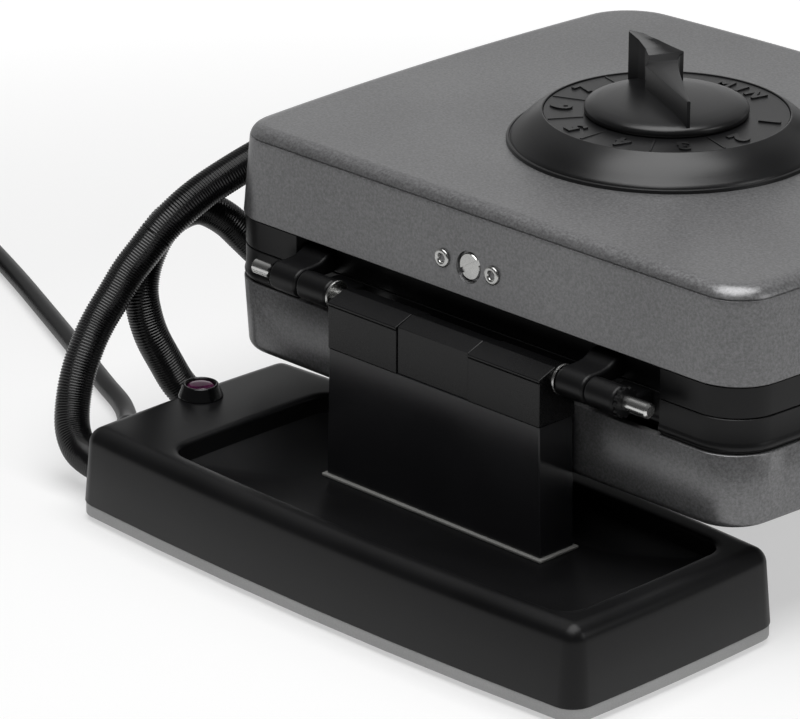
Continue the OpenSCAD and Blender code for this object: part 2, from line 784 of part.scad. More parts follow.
module upper_frame() color([0.07, 0.07, 0.07]) {
    difference() {
        union() {
            frame_ring(upper_bottom, upper_frame_z, upper_frame_z - ledge_t, upper_frame_z);
            for (p = post_at)
                rod_z(post_r, [upper_frame_z - 1, upper_frame_z + reflector_post_h], p);
            knuckle(left_outer, 1);
            knuckle(right_inner, 1);
            block([-tab_half_w, tab_half_w], [tab_y - tab_t, tab_y],
                [upper_frame_z - 2, upper_frame_z + tab_h]);
        }
        for (p = post_at)
            rod_z(post_bore_r, [upper_frame_z, upper_frame_z + reflector_post_h + e], p);
        for (x = [rivet_x[0], screw_x, rivet_x[1]])
            rod_y(fastener_bore_r, [rear_y - 12, rear_y], [x, fastener_z]);
    }
}

plate_back_h = 2.4;
// The studs and cavities of one waffle plate, with its face at z and the cavities going down
function cavity_x(i) = (i == 0 ? -1 : 1) * (centre_land + cavity_w) / 2;
module waffle_plate(back_h) {
    across = cavity_w / studs_across;
    along = cavity_l / studs_along;
    difference() {
        union() {
            iron_slab(plate_inset + seat_gap, lower_rim_z + ledge_t, lower_top);
            iron_slab(ledge_inset + seat_gap, lower_rim_z + ledge_t - back_h, lower_top - e);
        }
        for (i = [0, 1])
            difference() {
                block([cavity_x(i) - cavity_w / 2, cavity_x(i) + cavity_w / 2],
                    [iron_y - cavity_l / 2, iron_y + cavity_l / 2],
                    [lower_top - cavity_depth, lower_top + e]);
                for (j = [0:studs_across - 1], k = [0:studs_along - 1])
                    block([cavity_x(i) - cavity_w / 2 + across * (j + 0.5) - stud_w / 2,
                            cavity_x(i) - cavity_w / 2 + across * (j + 0.5) + stud_w / 2],
                        [iron_y - cavity_l / 2 + along * (k + 0.5) - stud_w / 2,
                            iron_y - cavity_l / 2 + along * (k + 0.5) + stud_w / 2],
                        [lower_top - cavity_depth - e, lower_top - cavity_depth + stud_h]);
            }
        element_loop();
        for (p = post_at)
            rod_z(post_r + seat_gap, [lower_rim_z - e, lower_rim_z + 1 + seat_gap], p);
    }
}

// The heating element, a rounded loop half sunk into the back of its plate
element_z = lower_rim_z - 1.5;
element_x = 84;
element_half_l = 66;
element_bend = 30;
module element_loop() {
    r = element_d / 2;
    for (s = [-1, 1]) {
        rod_y(r, [iron_y - element_half_l + element_bend, iron_y + element_half_l - element_bend],
            [s * element_x, element_z]);
        rod_x(r, [-element_x + element_bend, element_x - element_bend],
            [iron_y + s * element_half_l, element_z]);
    }
    for (q = [0:3])
        translate([0, iron_y, element_z])
            translate([(q == 0 || q == 3 ? 1 : -1) * (element_x - element_bend),
                    (q < 2 ? 1 : -1) * (element_half_l - element_bend), 0])
                rotate([0, 0, 90 * q])
                    rotate_extrude(angle = 90)
                        translate([element_bend, 0])
                            circle(r = r);
}

// What lies below the joint, turned over to lie above it
module turned_over() {
    translate([0, 0, 2 * hinge_z])
        mirror([0, 0, 1])
            children();
}

module lower_waffle_plate() color([0.55, 0.55, 0.55])
    waffle_plate(plate_back_h);
module upper_waffle_plate() color([0.55, 0.55, 0.55])
    turned_over()
        waffle_plate(plate_back_h);
module lower_element() color([0.45, 0.42, 0.4])
    element_loop();
module upper_element() color([0.45, 0.42, 0.4])
    turned_over()
        element_loop();

module reflector(z) {
    difference() {
        iron_slab(plate_inset, z, z + reflector_t);
        for (p = post_at)
            rod_z(post_bore_r + seat_gap, [z - e, z + reflector_t + e], p);
    }
}

module lower_reflector() color([0.75, 0.75, 0.75])
    reflector(lower_rim_z - reflector_post_h - reflector_t);
module upper_reflector() color([0.75, 0.75, 0.75])
    reflector(upper_frame_z + reflector_post_h);

module reflector_screws() color([0.65, 0.65, 0.65]) {
    z = upper_frame_z + reflector_post_h;
    for (p = post_at) {
        rod_z(post_screw_r, [z - 7, z + reflector_t + 0.5], p);
        rod_z(2 * post_screw_r, [z + reflector_t, z + reflector_t + 2], p);
    }
}

// The upper shell: a drafted cover with a rounded top edge
module upper_shell() color([0.45, 0.45, 0.46]) {
    lean = upper_draft * (upper_shell_h - upper_fillet);
    inner = lean + shell_wall;
    difference() {
        loft(concat(
            [iron_ring(0, upper_frame_z)],
            [for (a = [0:22.5:90]) iron_ring(lean + upper_fillet * (1 - cos(a)),
                shell_top - upper_fillet + upper_fillet * sin(a))]));
        loft([
            iron_ring(shell_wall - upper_draft * e, upper_frame_z - e),
            iron_ring(inner, shell_top - upper_fillet),
            iron_ring(inner + upper_fillet - shell_wall, shell_top - shell_wall)]);
        rod_z(bushing_r + seat_gap, [shell_top - 2 * shell_wall, shell_top + e], [0, dial_y]);
        for (x = rivet_x)
            rod_y(fastener_bore_r, [rear_y - 8, rear_y + e], [x, fastener_z]);
        rod_y(fastener_bore_r, [rear_y - 8, rear_y + e], [screw_x, fastener_z]);
        rod_y(screw_recess_r, [screw_seat_y, rear_y + e], [screw_x, fastener_z]);
    }
}

// The lower shell: a drafted tray with a rounded bottom edge
module lower_shell() color([0.45, 0.45, 0.46]) {
    lean = lower_draft * (lower_shell_h - lower_fillet);
    inner = lean + shell_wall;
    difference() {
        loft(concat(
            [for (a = [90:-22.5:0]) iron_ring(lean + lower_fillet * (1 - cos(a)),
                lower_bottom + lower_fillet - lower_fillet * sin(a))],
            [iron_ring(0, lower_frame_z)]));
        loft([
            iron_ring(inner + lower_fillet - shell_wall, lower_bottom + shell_wall),
            iron_ring(inner, lower_bottom + lower_fillet),
            iron_ring(shell_wall - lower_draft * e, lower_frame_z + e)]);
        for (p = post_at)
            rod_z(post_bore_r + seat_gap, [lower_bottom - e, lower_bottom + shell_wall + e], p);
    }
}

module lower_shell_screws() color([0.65, 0.65, 0.65]) {
    for (p = post_at) {
        rod_z(post_screw_r, [lower_bottom - 0.5, lower_rim_z - 3], p);
        rod_z(2 * post_screw_r, [lower_bottom - 1.6, lower_bottom], p);
    }
}

/* ---- Fasteners, fittings and handles ---- */

fastener_rise = 12.2;
fastener_z = upper_frame_z + fastener_rise;
fastener_r = 1.9;
rivet_x = [15.2, -11.4];
rivet_head_r = 3.8;
rivet_bore_r = 1.4;
screw_x = 1.3;
screw_recess_r = 6.3;
screw_head_r = 5.3;
screw_slot_w = 2.2;
screw_slot_angle = 31;
screw_seat_y = rear_y - upper_draft * fastener_rise - 1.8;
tab_y = rear_y - pocket_depth;
tab_t = 2.5;
tail_l = 3.3;

module shell_screw() color([0.6, 0.6, 0.6]) {
    difference() {
        union() {
            rod_y(fastener_r, [tab_y - tail_l, screw_seat_y + 0.5], [screw_x, fastener_z]);
            rod_y(screw_head_r, [screw_seat_y, screw_seat_y + 1.6], [screw_x, fastener_z]);
        }
        translate([screw_x, screw_seat_y + 0.8, fastener_z])
            rotate([0, screw_slot_angle, 0])
                block([-screw_head_r - e, screw_head_r + e], [0, e], [-screw_slot_w / 2, screw_slot_w / 2]);
    }
}

module shell_rivets() color([0.6, 0.6, 0.6]) {
    face = rear_y - upper_draft * (fastener_rise - rivet_head_r) + 0.05;
    for (x = rivet_x)
        difference() {
            union() {
                rod_y(fastener_r, [tab_y - tail_l, face + 0.4], [x, fastener_z]);
                rod_y(rivet_head_r, [face, face + 0.8], [x, fastener_z]);
                rod_y(fastener_r + 0.9, [tab_y - tail_l, tab_y - tab_t], [x, fastener_z]);
            }
            rod_y(rivet_bore_r, [tab_y - 4, face + 2], [x, fastener_z]);
        }
}

// The elbow block where a hose meets a shell
module fitting(at, wall_x) {
    block([wall_x, at[0] + fitting_size[0] / 2], [at[1] - fitting_size[1], at[1]],
        [at[2] - fitting_size[2] / 2, at[2] + fitting_size[2] / 2]);
}

module upper_fitting() color([0.1, 0.1, 0.1])
    fitting(upper_fitting_at, iron_a + iron_side_bow - 1);
module lower_fitting() color([0.1, 0.1, 0.1])
    fitting(lower_fitting_at, iron_a + iron_side_bow - 0.6);

grip_y = front_y + frame_inset - finger_gap;
leg_y = grip_y - handle_d / 2;
leg_reach = pin_y - leg_y;
leg_drop = (hinge_z + leg_reach * sin(stop_angle)) / cos(stop_angle);
leg_half_w = 12;
bracket_half_w = 20;
bracket_drop = 4;
bracket_set_in = 6;

// A bracket from the frame's front wall to its grip
module bracket() {
    z = [lower_top - bracket_drop - bracket_t, lower_top - bracket_drop];
    y = [grip_y - handle_d + bracket_set_in, front_y + frame_inset];
    block([-bracket_half_w, bracket_half_w], y, z);
}

module grip() {
    difference() {
        block([-handle_w / 2, handle_w / 2], [grip_y - handle_d, grip_y],
            [lower_top - handle_h, lower_top]);
        block([-bracket_half_w - seat_gap, bracket_half_w + seat_gap],
            [grip_y - handle_d + bracket_set_in - seat_gap, grip_y + e],
            [lower_top - bracket_drop - bracket_t - seat_gap, lower_top - bracket_drop + seat_gap]);
    }
}

// A leg from a grip to the table, with a rubber-tipped end
module leg(drop) {
    block([-leg_half_w, leg_half_w], [leg_y - leg_t / 2, leg_y + leg_t / 2],
        [hinge_z - drop, lower_top - handle_h]);
}

module lower_bracket() color([0.6, 0.6, 0.6])
    bracket();
module lower_grip() color([0.06, 0.06, 0.06])
    grip();
module lower_leg() color([0.06, 0.06, 0.06])
    leg(hinge_z);
module upper_bracket() color([0.6, 0.6, 0.6])
    turned_over()
        bracket();
module upper_grip() color([0.06, 0.06, 0.06])
    turned_over()
        grip();
module upper_leg() color([0.06, 0.06, 0.06])
    turned_over()
        leg(leg_drop);

/* ---- Thermostat and dial ---- */

bushing_r = 5;
nut_r = 8;
nut_h = 2.6;
thermostat_r = 20;
ring_bore_r = 14;
shaft_foot = 5;
body_top = shell_top - shell_wall;
body_bottom = upper_frame_z + reflector_post_h + reflector_t;
shaft_bore_r = shaft_d / 2 + running_gap;

module thermostat() color([0.8, 0.78, 0.72]) {
    at = [0, dial_y];
    difference() {
        union() {
            rod_z(thermostat_r, [body_bottom, body_top], at);
            rod_z(bushing_r, [body_top - e, shell_top + nut_h + 1], at);
        }
        rod_z(shaft_bore_r, [body_bottom + shaft_foot, ring_z], at);
    }
}

module thermostat_nut() color([0.7, 0.7, 0.7]) {
    difference() {
        translate([0, dial_y, shell_top])
            cylinder(h = nut_h, r = nut_r, $fn = 6);
        rod_z(bushing_r + seat_gap, [shell_top - e, shell_top + nut_h + e], [0, dial_y]);
    }
}

module dial_bezel() color([0.5, 0.5, 0.5]) {
    top = scale_ring_h;
    translate([0, dial_y, shell_top])
        rotate_extrude($fn = 96)
            polygon([[dial_rim_r, 0], [dial_rim_r, 1.6], [dial_rim_r - 1, 2.2], [scale_ring_r + 0.5, top],
                [scale_ring_r - 0.5, top], [scale_ring_r - 0.5, top - 1.5],
                [nut_r, top - 1.5], [nut_r, top - 3.5],
                [scale_ring_r - 1.6, top - 3.5], [dial_rim_r - 2.6, 0]]);
}

module scale_ring() color([0.5, 0.5, 0.5]) {
    translate([0, dial_y, ring_z - 1.5])
        difference() {
            cylinder(h = 1, r = scale_ring_r - 0.6);
            translate([0, 0, -e])
                cylinder(h = 3, r = ring_bore_r);
        }
}

module thermostat_shaft() color([0.7, 0.7, 0.7])
    rod_z(shaft_d / 2, [body_bottom + shaft_foot + moving_gap, ring_z + knob_dome_h + 3], [0, dial_y]);

knob_z = ring_z - 0.5 + moving_gap;
// The grip's plan, with +X towards the pointer: a wedge with a finger scoop on each side of its tail
grip_plan = [
    [31.3, -2.4], [-12.8, -4.8], [-16, -3], [-20, -1.2], [-24, -1.4], [-28, -3], [-31.4, -5.9],
    [-32, -5.2], [-30.5, 0], [-27.5, 5], [-24, 10], [-21.2, 13.8], [-20.2, 13.4], [-19, 11.5],
    [-16.5, 9.8], [-12, 8.4], [-4, 6.2], [9.8, 3.2], [20, 1], [31.3, -1]];
grip_root = knob_dome_h - 3;

module knob_grip() {
    intersection() {
        translate([0, 0, knob_z + grip_root])
            linear_extrude(grip_high)
                polygon(grip_plan);
        translate([0, knob_r, ring_z])
            rotate([90, 0, 0])
                linear_extrude(2 * knob_r)
                    polygon([
                        [-knob_r, 0], [-knob_r, grip_high],
                        [-28.7, grip_high - 2.6], [-24, grip_high - 5.8],
                        [-20.6, grip_high - 7.6], [-16, grip_high - 9], [-12.8, grip_low + 0.6],
                        [knob_r, grip_low], [knob_r, 0]]);
    }
}

module thermostat_knob() color([0.5, 0.5, 0.5]) {
    translate([0, dial_y, 0])
        difference() {
            union() {
                translate([0, 0, knob_z])
                    rotate_extrude($fn = 96)
                        polygon([
                            [0, 0], [knob_r, 0], [knob_r, 2.3], [knob_r - 1, 3.7],
                            [knob_r - 4.5, knob_dome_h - 1], [knob_r - 14, knob_dome_h - 0.3],
                            [0, knob_dome_h]]);
                rotate([0, 0, pointer_angle])
                    knob_grip();
            }
            translate([0, 0, knob_z - e])
                cylinder(h = ring_z + knob_dome_h + 3.2 - knob_z + e, r = shaft_d / 2 + 0.02);
        }
}

base_cover();
base_plate();
rubber_feet();
base_screws();
column_anchor();
column_gasket();
column();
tie_bolts();
hinge_cap_left();
hinge_cap_right();
hinge_centre_block();
hinge_pin();
hinge_washers();
pin_clips();
lamp_bezel();
lamp_lens();
neon_lamp();
terminal_block();
hose_glands();
cord_gland();
upper_hose();
lower_hose();
power_cord();
cord_coil();
plug_lead();
mains_plug();
lower_frame();
lower_shell();
lower_waffle_plate();
lower_element();
lower_reflector();
lower_shell_screws();
lower_fitting();
lower_bracket();
lower_grip();
lower_leg();
upper_frame();
upper_shell();
upper_waffle_plate();
upper_element();
upper_reflector();
reflector_screws();
upper_fitting();
upper_bracket();
upper_grip();
upper_leg();
shell_screw();
shell_rivets();
thermostat();
thermostat_nut();
dial_bezel();
scale_ring();
thermostat_shaft();
thermostat_knob();
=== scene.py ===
# %% [markdown]
# A flip-over waffle maker: two cast halves that open and turn over on a pin, a column on a low
# base, a dial, a lamp, two ribbed hoses and a mains cord. The CAD model is loaded as a fixed
# frame, and each piece below is made in the same place and the same size, with more detail.

# %% Load the CAD model
import math
import bmesh
import bpy
from mathutils import Matrix, Vector


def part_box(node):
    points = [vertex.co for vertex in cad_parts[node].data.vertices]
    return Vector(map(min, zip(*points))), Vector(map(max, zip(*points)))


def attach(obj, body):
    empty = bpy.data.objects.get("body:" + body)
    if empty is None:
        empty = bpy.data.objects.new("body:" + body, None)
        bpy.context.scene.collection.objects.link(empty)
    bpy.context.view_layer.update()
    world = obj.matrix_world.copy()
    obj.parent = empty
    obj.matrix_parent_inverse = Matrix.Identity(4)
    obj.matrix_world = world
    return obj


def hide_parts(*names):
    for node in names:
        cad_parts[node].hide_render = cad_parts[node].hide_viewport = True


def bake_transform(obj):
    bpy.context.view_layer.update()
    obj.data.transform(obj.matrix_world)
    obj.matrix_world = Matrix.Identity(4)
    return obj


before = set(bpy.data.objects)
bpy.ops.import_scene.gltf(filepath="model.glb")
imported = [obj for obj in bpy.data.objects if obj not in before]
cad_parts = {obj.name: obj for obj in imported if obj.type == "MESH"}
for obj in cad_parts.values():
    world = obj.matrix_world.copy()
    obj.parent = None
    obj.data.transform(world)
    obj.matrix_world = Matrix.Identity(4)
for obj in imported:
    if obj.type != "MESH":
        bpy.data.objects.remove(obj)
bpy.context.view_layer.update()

MM = 0.001

# %% [markdown]
# The camera looks at the rear left quarter from a little above, with a long lens, so lines that
# run away from it stay almost parallel. It could be aimed with a constraint. A rotation that is
# built from three angles is exact, and each of them can be changed on its own.

# %% Camera
def set_camera(place, azimuth, elevation, roll, lens):
    a, e, r = math.radians(azimuth), math.radians(elevation), math.radians(roll)
    back = Vector((math.sin(a) * math.cos(e), -math.cos(a) * math.cos(e), math.sin(e)))
    side = Vector((math.cos(a), math.sin(a), 0))
    above = back.cross(side)
    right = math.cos(r) * side + math.sin(r) * above
    up = -math.sin(r) * side + math.cos(r) * above
    data = bpy.data.cameras.new("camera")
    data.lens = lens
    data.sensor_width = 36
    data.clip_start = 0.1
    data.clip_end = 60
    camera = bpy.data.objects.new("camera", data)
    bpy.context.scene.collection.objects.link(camera)
    turn = Matrix((right, up, back)).transposed().to_4x4()
    camera.matrix_world = Matrix.Translation(Vector(place) * MM) @ turn
    bpy.context.scene.camera = camera


set_camera((-1208.79, 1205.84, 775.85), azimuth=225.268, elevation=21.881, roll=0.148, lens=218.70)
print("camera lens", round(bpy.context.scene.camera.data.lens, 1), "mm")

# %% [markdown]
# Every material is a small graph of nodes. One function adds a node, sets its options and fills
# its sockets, with a number, a colour or a link, so each material below stays short to read.
# Colours are written as they look on a screen, and turned to linear light here.

# %% Helpers for materials
def srgb(code):
    parts = [int(code[i:i + 2], 16) / 255 for i in (1, 3, 5)]
    return tuple(p / 12.92 if p <= 0.04045 else ((p + 0.055) / 1.055) ** 2.4 for p in parts) + (1.0,)


def add(tree, kind, sockets=None, **options):
    made = tree.nodes.new(kind)
    for name, value in options.items():
        setattr(made, name, value)
    for name, value in (sockets or {}).items():
        if isinstance(value, bpy.types.NodeSocket):
            tree.links.new(value, made.inputs[name])
        else:
            made.inputs[name].default_value = value
    return made


def scale_for(size_mm):
    """A noise's scale, from the real size of its grains."""
    return 1000 / size_mm


def new_material(name):
    material = bpy.data.materials.new(name)
    material.use_nodes = True
    tree = material.node_tree
    place = add(tree, "ShaderNodeTexCoord").outputs["Object"]
    return material, tree, tree.nodes["Principled BSDF"], place


def noise(tree, place, size_mm, detail=2.0, roughness=0.5):
    return add(tree, "ShaderNodeTexNoise", {"Vector": place, "Scale": scale_for(size_mm),
                                            "Detail": detail, "Roughness": roughness}).outputs[0]


def between(tree, factor, low, high, start=0.3, end=0.7):
    """Spreads a pattern between two colours or two numbers."""
    if isinstance(low, str):
        ramp = add(tree, "ShaderNodeValToRGB", {"Fac": factor})
        for stop, where, code in zip(ramp.color_ramp.elements, (start, end), (low, high)):
            stop.position = where
            stop.color = srgb(code)
        return ramp.outputs["Color"]
    return add(tree, "ShaderNodeMapRange", {"Value": factor, "From Min": start, "From Max": end,
                                            "To Min": low, "To Max": high}).outputs["Result"]


def raised(tree, height, depth_mm, under=None):
    sockets = {"Height": height, "Distance": depth_mm * MM, "Strength": 1.0}
    if under is not None:
        sockets["Normal"] = under
    return add(tree, "ShaderNodeBump", sockets).outputs["Normal"]


print("a grain of 0.5 mm has noise scale", scale_for(0.5))

# %% [markdown]
# Most surfaces here are one of three kinds: a moulded or painted skin with a fine grain, bare
# metal with fine marks, or rubber. A shared recipe gives a grain of a real size, a slow change
# of colour over some centimetres as hands and heat leave, and a gloss that varies with both.

# %% A grained surface
BLOTCH_MM = 45


def grained(name, dark, light, grain_mm, depth_mm, gloss, metallic=0.0, stretch=None, specular=0.5):
    material, tree, shader, place = new_material(name)
    if stretch:
        place = add(tree, "ShaderNodeVectorMath", {0: place, 1: stretch}, operation="MULTIPLY").outputs[0]
    grain = noise(tree, place, grain_mm, detail=3.0, roughness=0.6)
    cloud = noise(tree, place, BLOTCH_MM, detail=2.0)
    mixed = add(tree, "ShaderNodeMath", {0: grain, 1: cloud}, operation="ADD").outputs[0]
    half = add(tree, "ShaderNodeMath", {0: mixed, 1: 0.5}, operation="MULTIPLY").outputs[0]
    shader.inputs["Metallic"].default_value = metallic
    if not metallic:
        shader.inputs["Specular IOR Level"].default_value = specular
    tree.links.new(between(tree, half, dark, light, 0.36, 0.64), shader.inputs["Base Color"])
    tree.links.new(between(tree, half, gloss[0], gloss[1], 0.3, 0.7), shader.inputs["Roughness"])
    tree.links.new(raised(tree, grain, depth_mm), shader.inputs["Normal"])
    return material


# %% [markdown]
# The shells are die-cast aluminium with a metallic hammer-grain paint. The eye sees a mid-grey
# metal with a broad soft sheen, and close up a fine sparkle of pale and dark flakes. Two noises
# do that: flakes, really about half a millimetre and drawn at one so that they show, and an
# orange-peel bump of about two millimetres.

# %% Hammer-grain paint
FLAKE_MM, PEEL_MM, CLOUD_MM = 1.1, 2.4, 70


def hammer_paint():
    material, tree, shader, place = new_material("hammer_grain_paint_on_aluminium")
    flakes = noise(tree, place, FLAKE_MM, detail=2.0, roughness=0.7)
    peel = noise(tree, place, PEEL_MM, detail=2.0)
    cloud = noise(tree, place, CLOUD_MM, detail=1.0)
    soft = add(tree, "ShaderNodeMath", {0: cloud, 1: 0.25, 2: flakes}, operation="MULTIPLY_ADD").outputs[0]
    tree.links.new(between(tree, soft, "#707071", "#929293", 0.44, 0.84), shader.inputs["Base Color"])
    tree.links.new(between(tree, flakes, 0.28, 0.4), shader.inputs["Roughness"])
    shader.inputs["Metallic"].default_value = 0.6
    under = raised(tree, peel, 0.006)
    tree.links.new(raised(tree, flakes, 0.01, under=under), shader.inputs["Normal"])
    return material


shell_paint = hammer_paint()
print("paint:", shell_paint.name)

# %% [markdown]
# The black parts differ by what they are made of. The frames are cast and powder coated, with a
# soft sheen. The base is moulded with a very fine grain. The column and its caps are painted
# steel, smoother, so their edges draw thin bright lines. The column's enamel is drawn lighter
# than the caps': painted light, to make up for the shade it stands in under the caps.

# %% Black finishes
frame_coat = grained("powder_coat_on_cast_aluminium", "#0a0a0b", "#121213", 0.6, 0.015, (0.32, 0.42),
                     specular=0.3)
base_coat = grained("fine_grain_moulded_base", "#0c0c0d", "#141415", 0.5, 0.012, (0.3, 0.4), specular=0.25)
# Painted light: the column's enamel is lighter than the caps', to offset the shade under them.
column_enamel_lightened_for_shade = grained("satin_enamel_lightened_for_shade", "#1b1b1d", "#242426", 0.4, 0.004, (0.16, 0.24))
cap_coat = grained("satin_enamel_on_caps", "#0c0c0d", "#131314", 0.4, 0.006, (0.24, 0.32), specular=0.3)
dial_plastic = grained("moulded_phenolic_dial", "#0f0f10", "#181819", 0.45, 0.01, (0.28, 0.36))
lamp_plastic = grained("polished_black_plastic", "#09090a", "#101011", 0.4, 0.004, (0.16, 0.24))
gland_plastic = grained("black_polyamide", "#0e0e0f", "#171718", 0.5, 0.01, (0.4, 0.5))
grip_plastic = grained("phenolic_grip", "#0a0a0b", "#131314", 0.6, 0.015, (0.3, 0.4))
hose_rubber = grained("ribbed_hose_rubber", "#060607", "#0c0c0d", 0.6, 0.004, (0.2, 0.28))
cord_rubber = grained("smooth_cord_rubber", "#0e0e0f", "#161617", 0.7, 0.006, (0.34, 0.44))
foot_rubber = grained("soft_foot_rubber", "#101010", "#1a1a1a", 0.7, 0.02, (0.6, 0.75))
print("black finishes, so far", len(bpy.data.materials), "materials")

# %% [markdown]
# The bare metals: a polished pin, nickel-plated fasteners, galvanised sheet, the aluminium of
# the baking plates and the oxidised steel of the heating elements. A metal's colour is that of
# its reflections, and fine scratches widen them along one direction.

# %% Bare metals and pale parts
pin_steel = grained("polished_steel_pin", "#c9c9c8", "#e4e4e2", 0.5, 0.0008, (0.18, 0.26), metallic=1.0,
                    stretch=(0.1, 1.0, 1.0))
nickel = grained("nickel_plated_steel", "#b9b9b7", "#dcdcda", 0.4, 0.006, (0.22, 0.34), metallic=1.0)
zinc = grained("zinc_plated_steel", "#8f9194", "#b4b6b8", 1.2, 0.01, (0.34, 0.5), metallic=1.0)
plate_paint = grained("grey_paint_on_sheet", "#b4b4b4", "#c4c4c4", 0.6, 0.01, (0.4, 0.5), metallic=0.3)
baking_plate = grained("cast_plate_with_baking_coat", "#2b2a29", "#3c3a38", 0.8, 0.03, (0.34, 0.5),
                       metallic=0.6)
element_steel = grained("oxidised_element_sheath", "#3f3a36", "#5d5650", 0.7, 0.01, (0.4, 0.6), metallic=1.0)
aluminised = grained("aluminised_sheet", "#a9abad", "#cfd0d1", 1.5, 0.008, (0.28, 0.42), metallic=1.0)
ceramic = grained("unglazed_ceramic", "#cfc7b4", "#ded7c6", 0.5, 0.01, (0.55, 0.7))
gasket = grained("grey_silicone_gasket", "#838381", "#949491", 0.6, 0.01, (0.3, 0.42))
print("with the metals", len(bpy.data.materials), "materials")

# %% [markdown]
# The lamp's lens is a deep purple-red plastic, clear enough to look dark when the lamp is off.
# A low transmission with a dark colour inside gives that, with a sharp gloss on top.

# %% Lens and glass
def clear_plastic(name, dark, light, transmission, ior=1.49):
    material, tree, shader, place = new_material(name)
    rings = noise(tree, place, 3.0, detail=1.0)
    tree.links.new(between(tree, rings, dark, light), shader.inputs["Base Color"])
    tree.links.new(between(tree, rings, 0.06, 0.12), shader.inputs["Roughness"])
    shader.inputs["Transmission Weight"].default_value = transmission
    shader.inputs["IOR"].default_value = ior
    return material


lens_plastic = clear_plastic("dark_ruby_lens_plastic", "#3c1030", "#5a1c46", 0.35)
lamp_glass = clear_plastic("neon_lamp_glass", "#d8a48a", "#e6b8a0", 0.8, ior=1.5)
print("clear plastics:", lens_plastic.name, lamp_glass.name)

# %% [markdown]
# A piece of the object is a mesh that rides on a CAD body, and most of them stand for a CAD
# node. Points are given in millimetres. Normals are made to point outwards, and edges sharper
# than an angle are kept crisp while the rest is shaded smooth.


def make_piece(name, points, faces, material, body, stands_for=(), slot=None, crisp=35):
    mesh = bpy.data.meshes.new(name)
    mesh.from_pydata([[c * MM for c in p] for p in points], [], faces)
    shape = bmesh.new()
    shape.from_mesh(mesh)
    bmesh.ops.recalc_face_normals(shape, faces=shape.faces)
    shape.to_mesh(mesh)
    shape.free()
    mesh.materials.append(material)
    mesh.shade_smooth()
    mesh.set_sharp_from_angle(angle=math.radians(crisp))
    piece = bpy.data.objects.new(name, mesh)
    bpy.context.scene.collection.objects.link(piece)
    if body:
        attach(piece, body)
    if stands_for:
        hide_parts(*stands_for)
    return piece


def loft(rings, joined=False):
    """Faces through rings of equal length: capped at both ends, or the last joined to the first."""
    n, last = len(rings[0]), len(rings) - 1
    points = [p for ring in rings for p in ring]
    faces = [(k * n + i, k * n + (i + 1) % n, (k + 1) * n + (i + 1) % n, (k + 1) * n + i)
             for k in range(last) for i in range(n)]
    if joined:
        faces += [(last * n + i, last * n + (i + 1) % n, (i + 1) % n, i) for i in range(n)]
    else:
        faces += [tuple(range(n))[::-1], tuple(range(last * n, last * n + n))]
    return points, faces


def merged(*shapes):
    """Several (points, faces) as one."""
    points, faces = [], []
    for p, f in shapes:
        faces += [tuple(i + len(points) for i in face) for face in f]
        points += list(p)
    return points, faces


def turned(profile, at, axis="Z", steps=96):
    """A shape turned on a lathe: profile is (radius, height), and its ends are closed."""
    order = {"Z": (0, 1, 2), "X": (2, 0, 1), "Y": (1, 2, 0)}[axis]
    rings = []
    for r, h in profile:
        ring = []
        for i in range(steps):
            a = 2 * math.pi * i / steps
            flat = (max(r, 0.01) * math.cos(a), max(r, 0.01) * math.sin(a), h)
            ring.append([at[k] + flat[order[k]] for k in range(3)])
        rings.append(ring)
    return loft(rings)


def quarter(centre, r, start, steps=6, turn=90):
    """Points on a quarter round."""
    return [(centre[0] + r * math.cos(math.radians(start + turn * i / steps)),
             centre[1] + r * math.sin(math.radians(start + turn * i / steps))) for i in range(steps + 1)]


def bevelled(piece, width, segments=3, angle=30, weld=False):
    if weld:
        piece.modifiers.new("weld", "WELD").merge_threshold = 1e-5
    edge = piece.modifiers.new("edge", "BEVEL")
    edge.width = width * MM
    edge.segments = segments
    edge.limit_method = "ANGLE"
    edge.angle_limit = math.radians(angle)
    edge.harden_normals = False
    weighted = piece.modifiers.new("shade", "WEIGHTED_NORMAL")
    weighted.keep_sharp = False
    return piece


def extruded(outline, span, axis):
    """A flat outline (u, v) drawn along an axis: X takes (y, z), Y takes (x, z), Z takes (x, y)."""
    put = {"X": lambda u, v, w: (w, u, v), "Y": lambda u, v, w: (u, w, v),
           "Z": lambda u, v, w: (u, v, w)}[axis]
    return loft([[put(u, v, w) for u, v in outline] for w in span])


def dress(nodes, material, edge_mm=0.3, segments=2):
    """A CAD node whose shape is right: a material, and a small round on its edges."""
    for name in nodes.split():
        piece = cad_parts[name]
        piece.data.materials.clear()
        piece.data.materials.append(material)
        if edge_mm:
            bevelled(piece, edge_mm, segments, weld=True)
    print("dressed:", nodes)


# %% [markdown]
# The halves of the iron and the base share one kind of outline: a rounded rectangle whose sides
# bulge a little. A ring is that outline at one height and one inset, and a wall is a stack of
# rings. The rear of the cast frames also steps in, to leave room for the knuckles.

# %% Outlines
IRON_HALF, IRON_DEPTH, IRON_BOW, FRONT_BOW = 136.9, 117.4, 4.8, 5.2
REAR_R, FRONT_R = 19, 27
PIN_Y, PIN_Z = -18.0, 94.4
REAR_Y = -28.5
IRON_Y = REAR_Y - IRON_DEPTH
DIAL_Y = REAR_Y - 110.0
POCKET = (-97.0, 95.0)


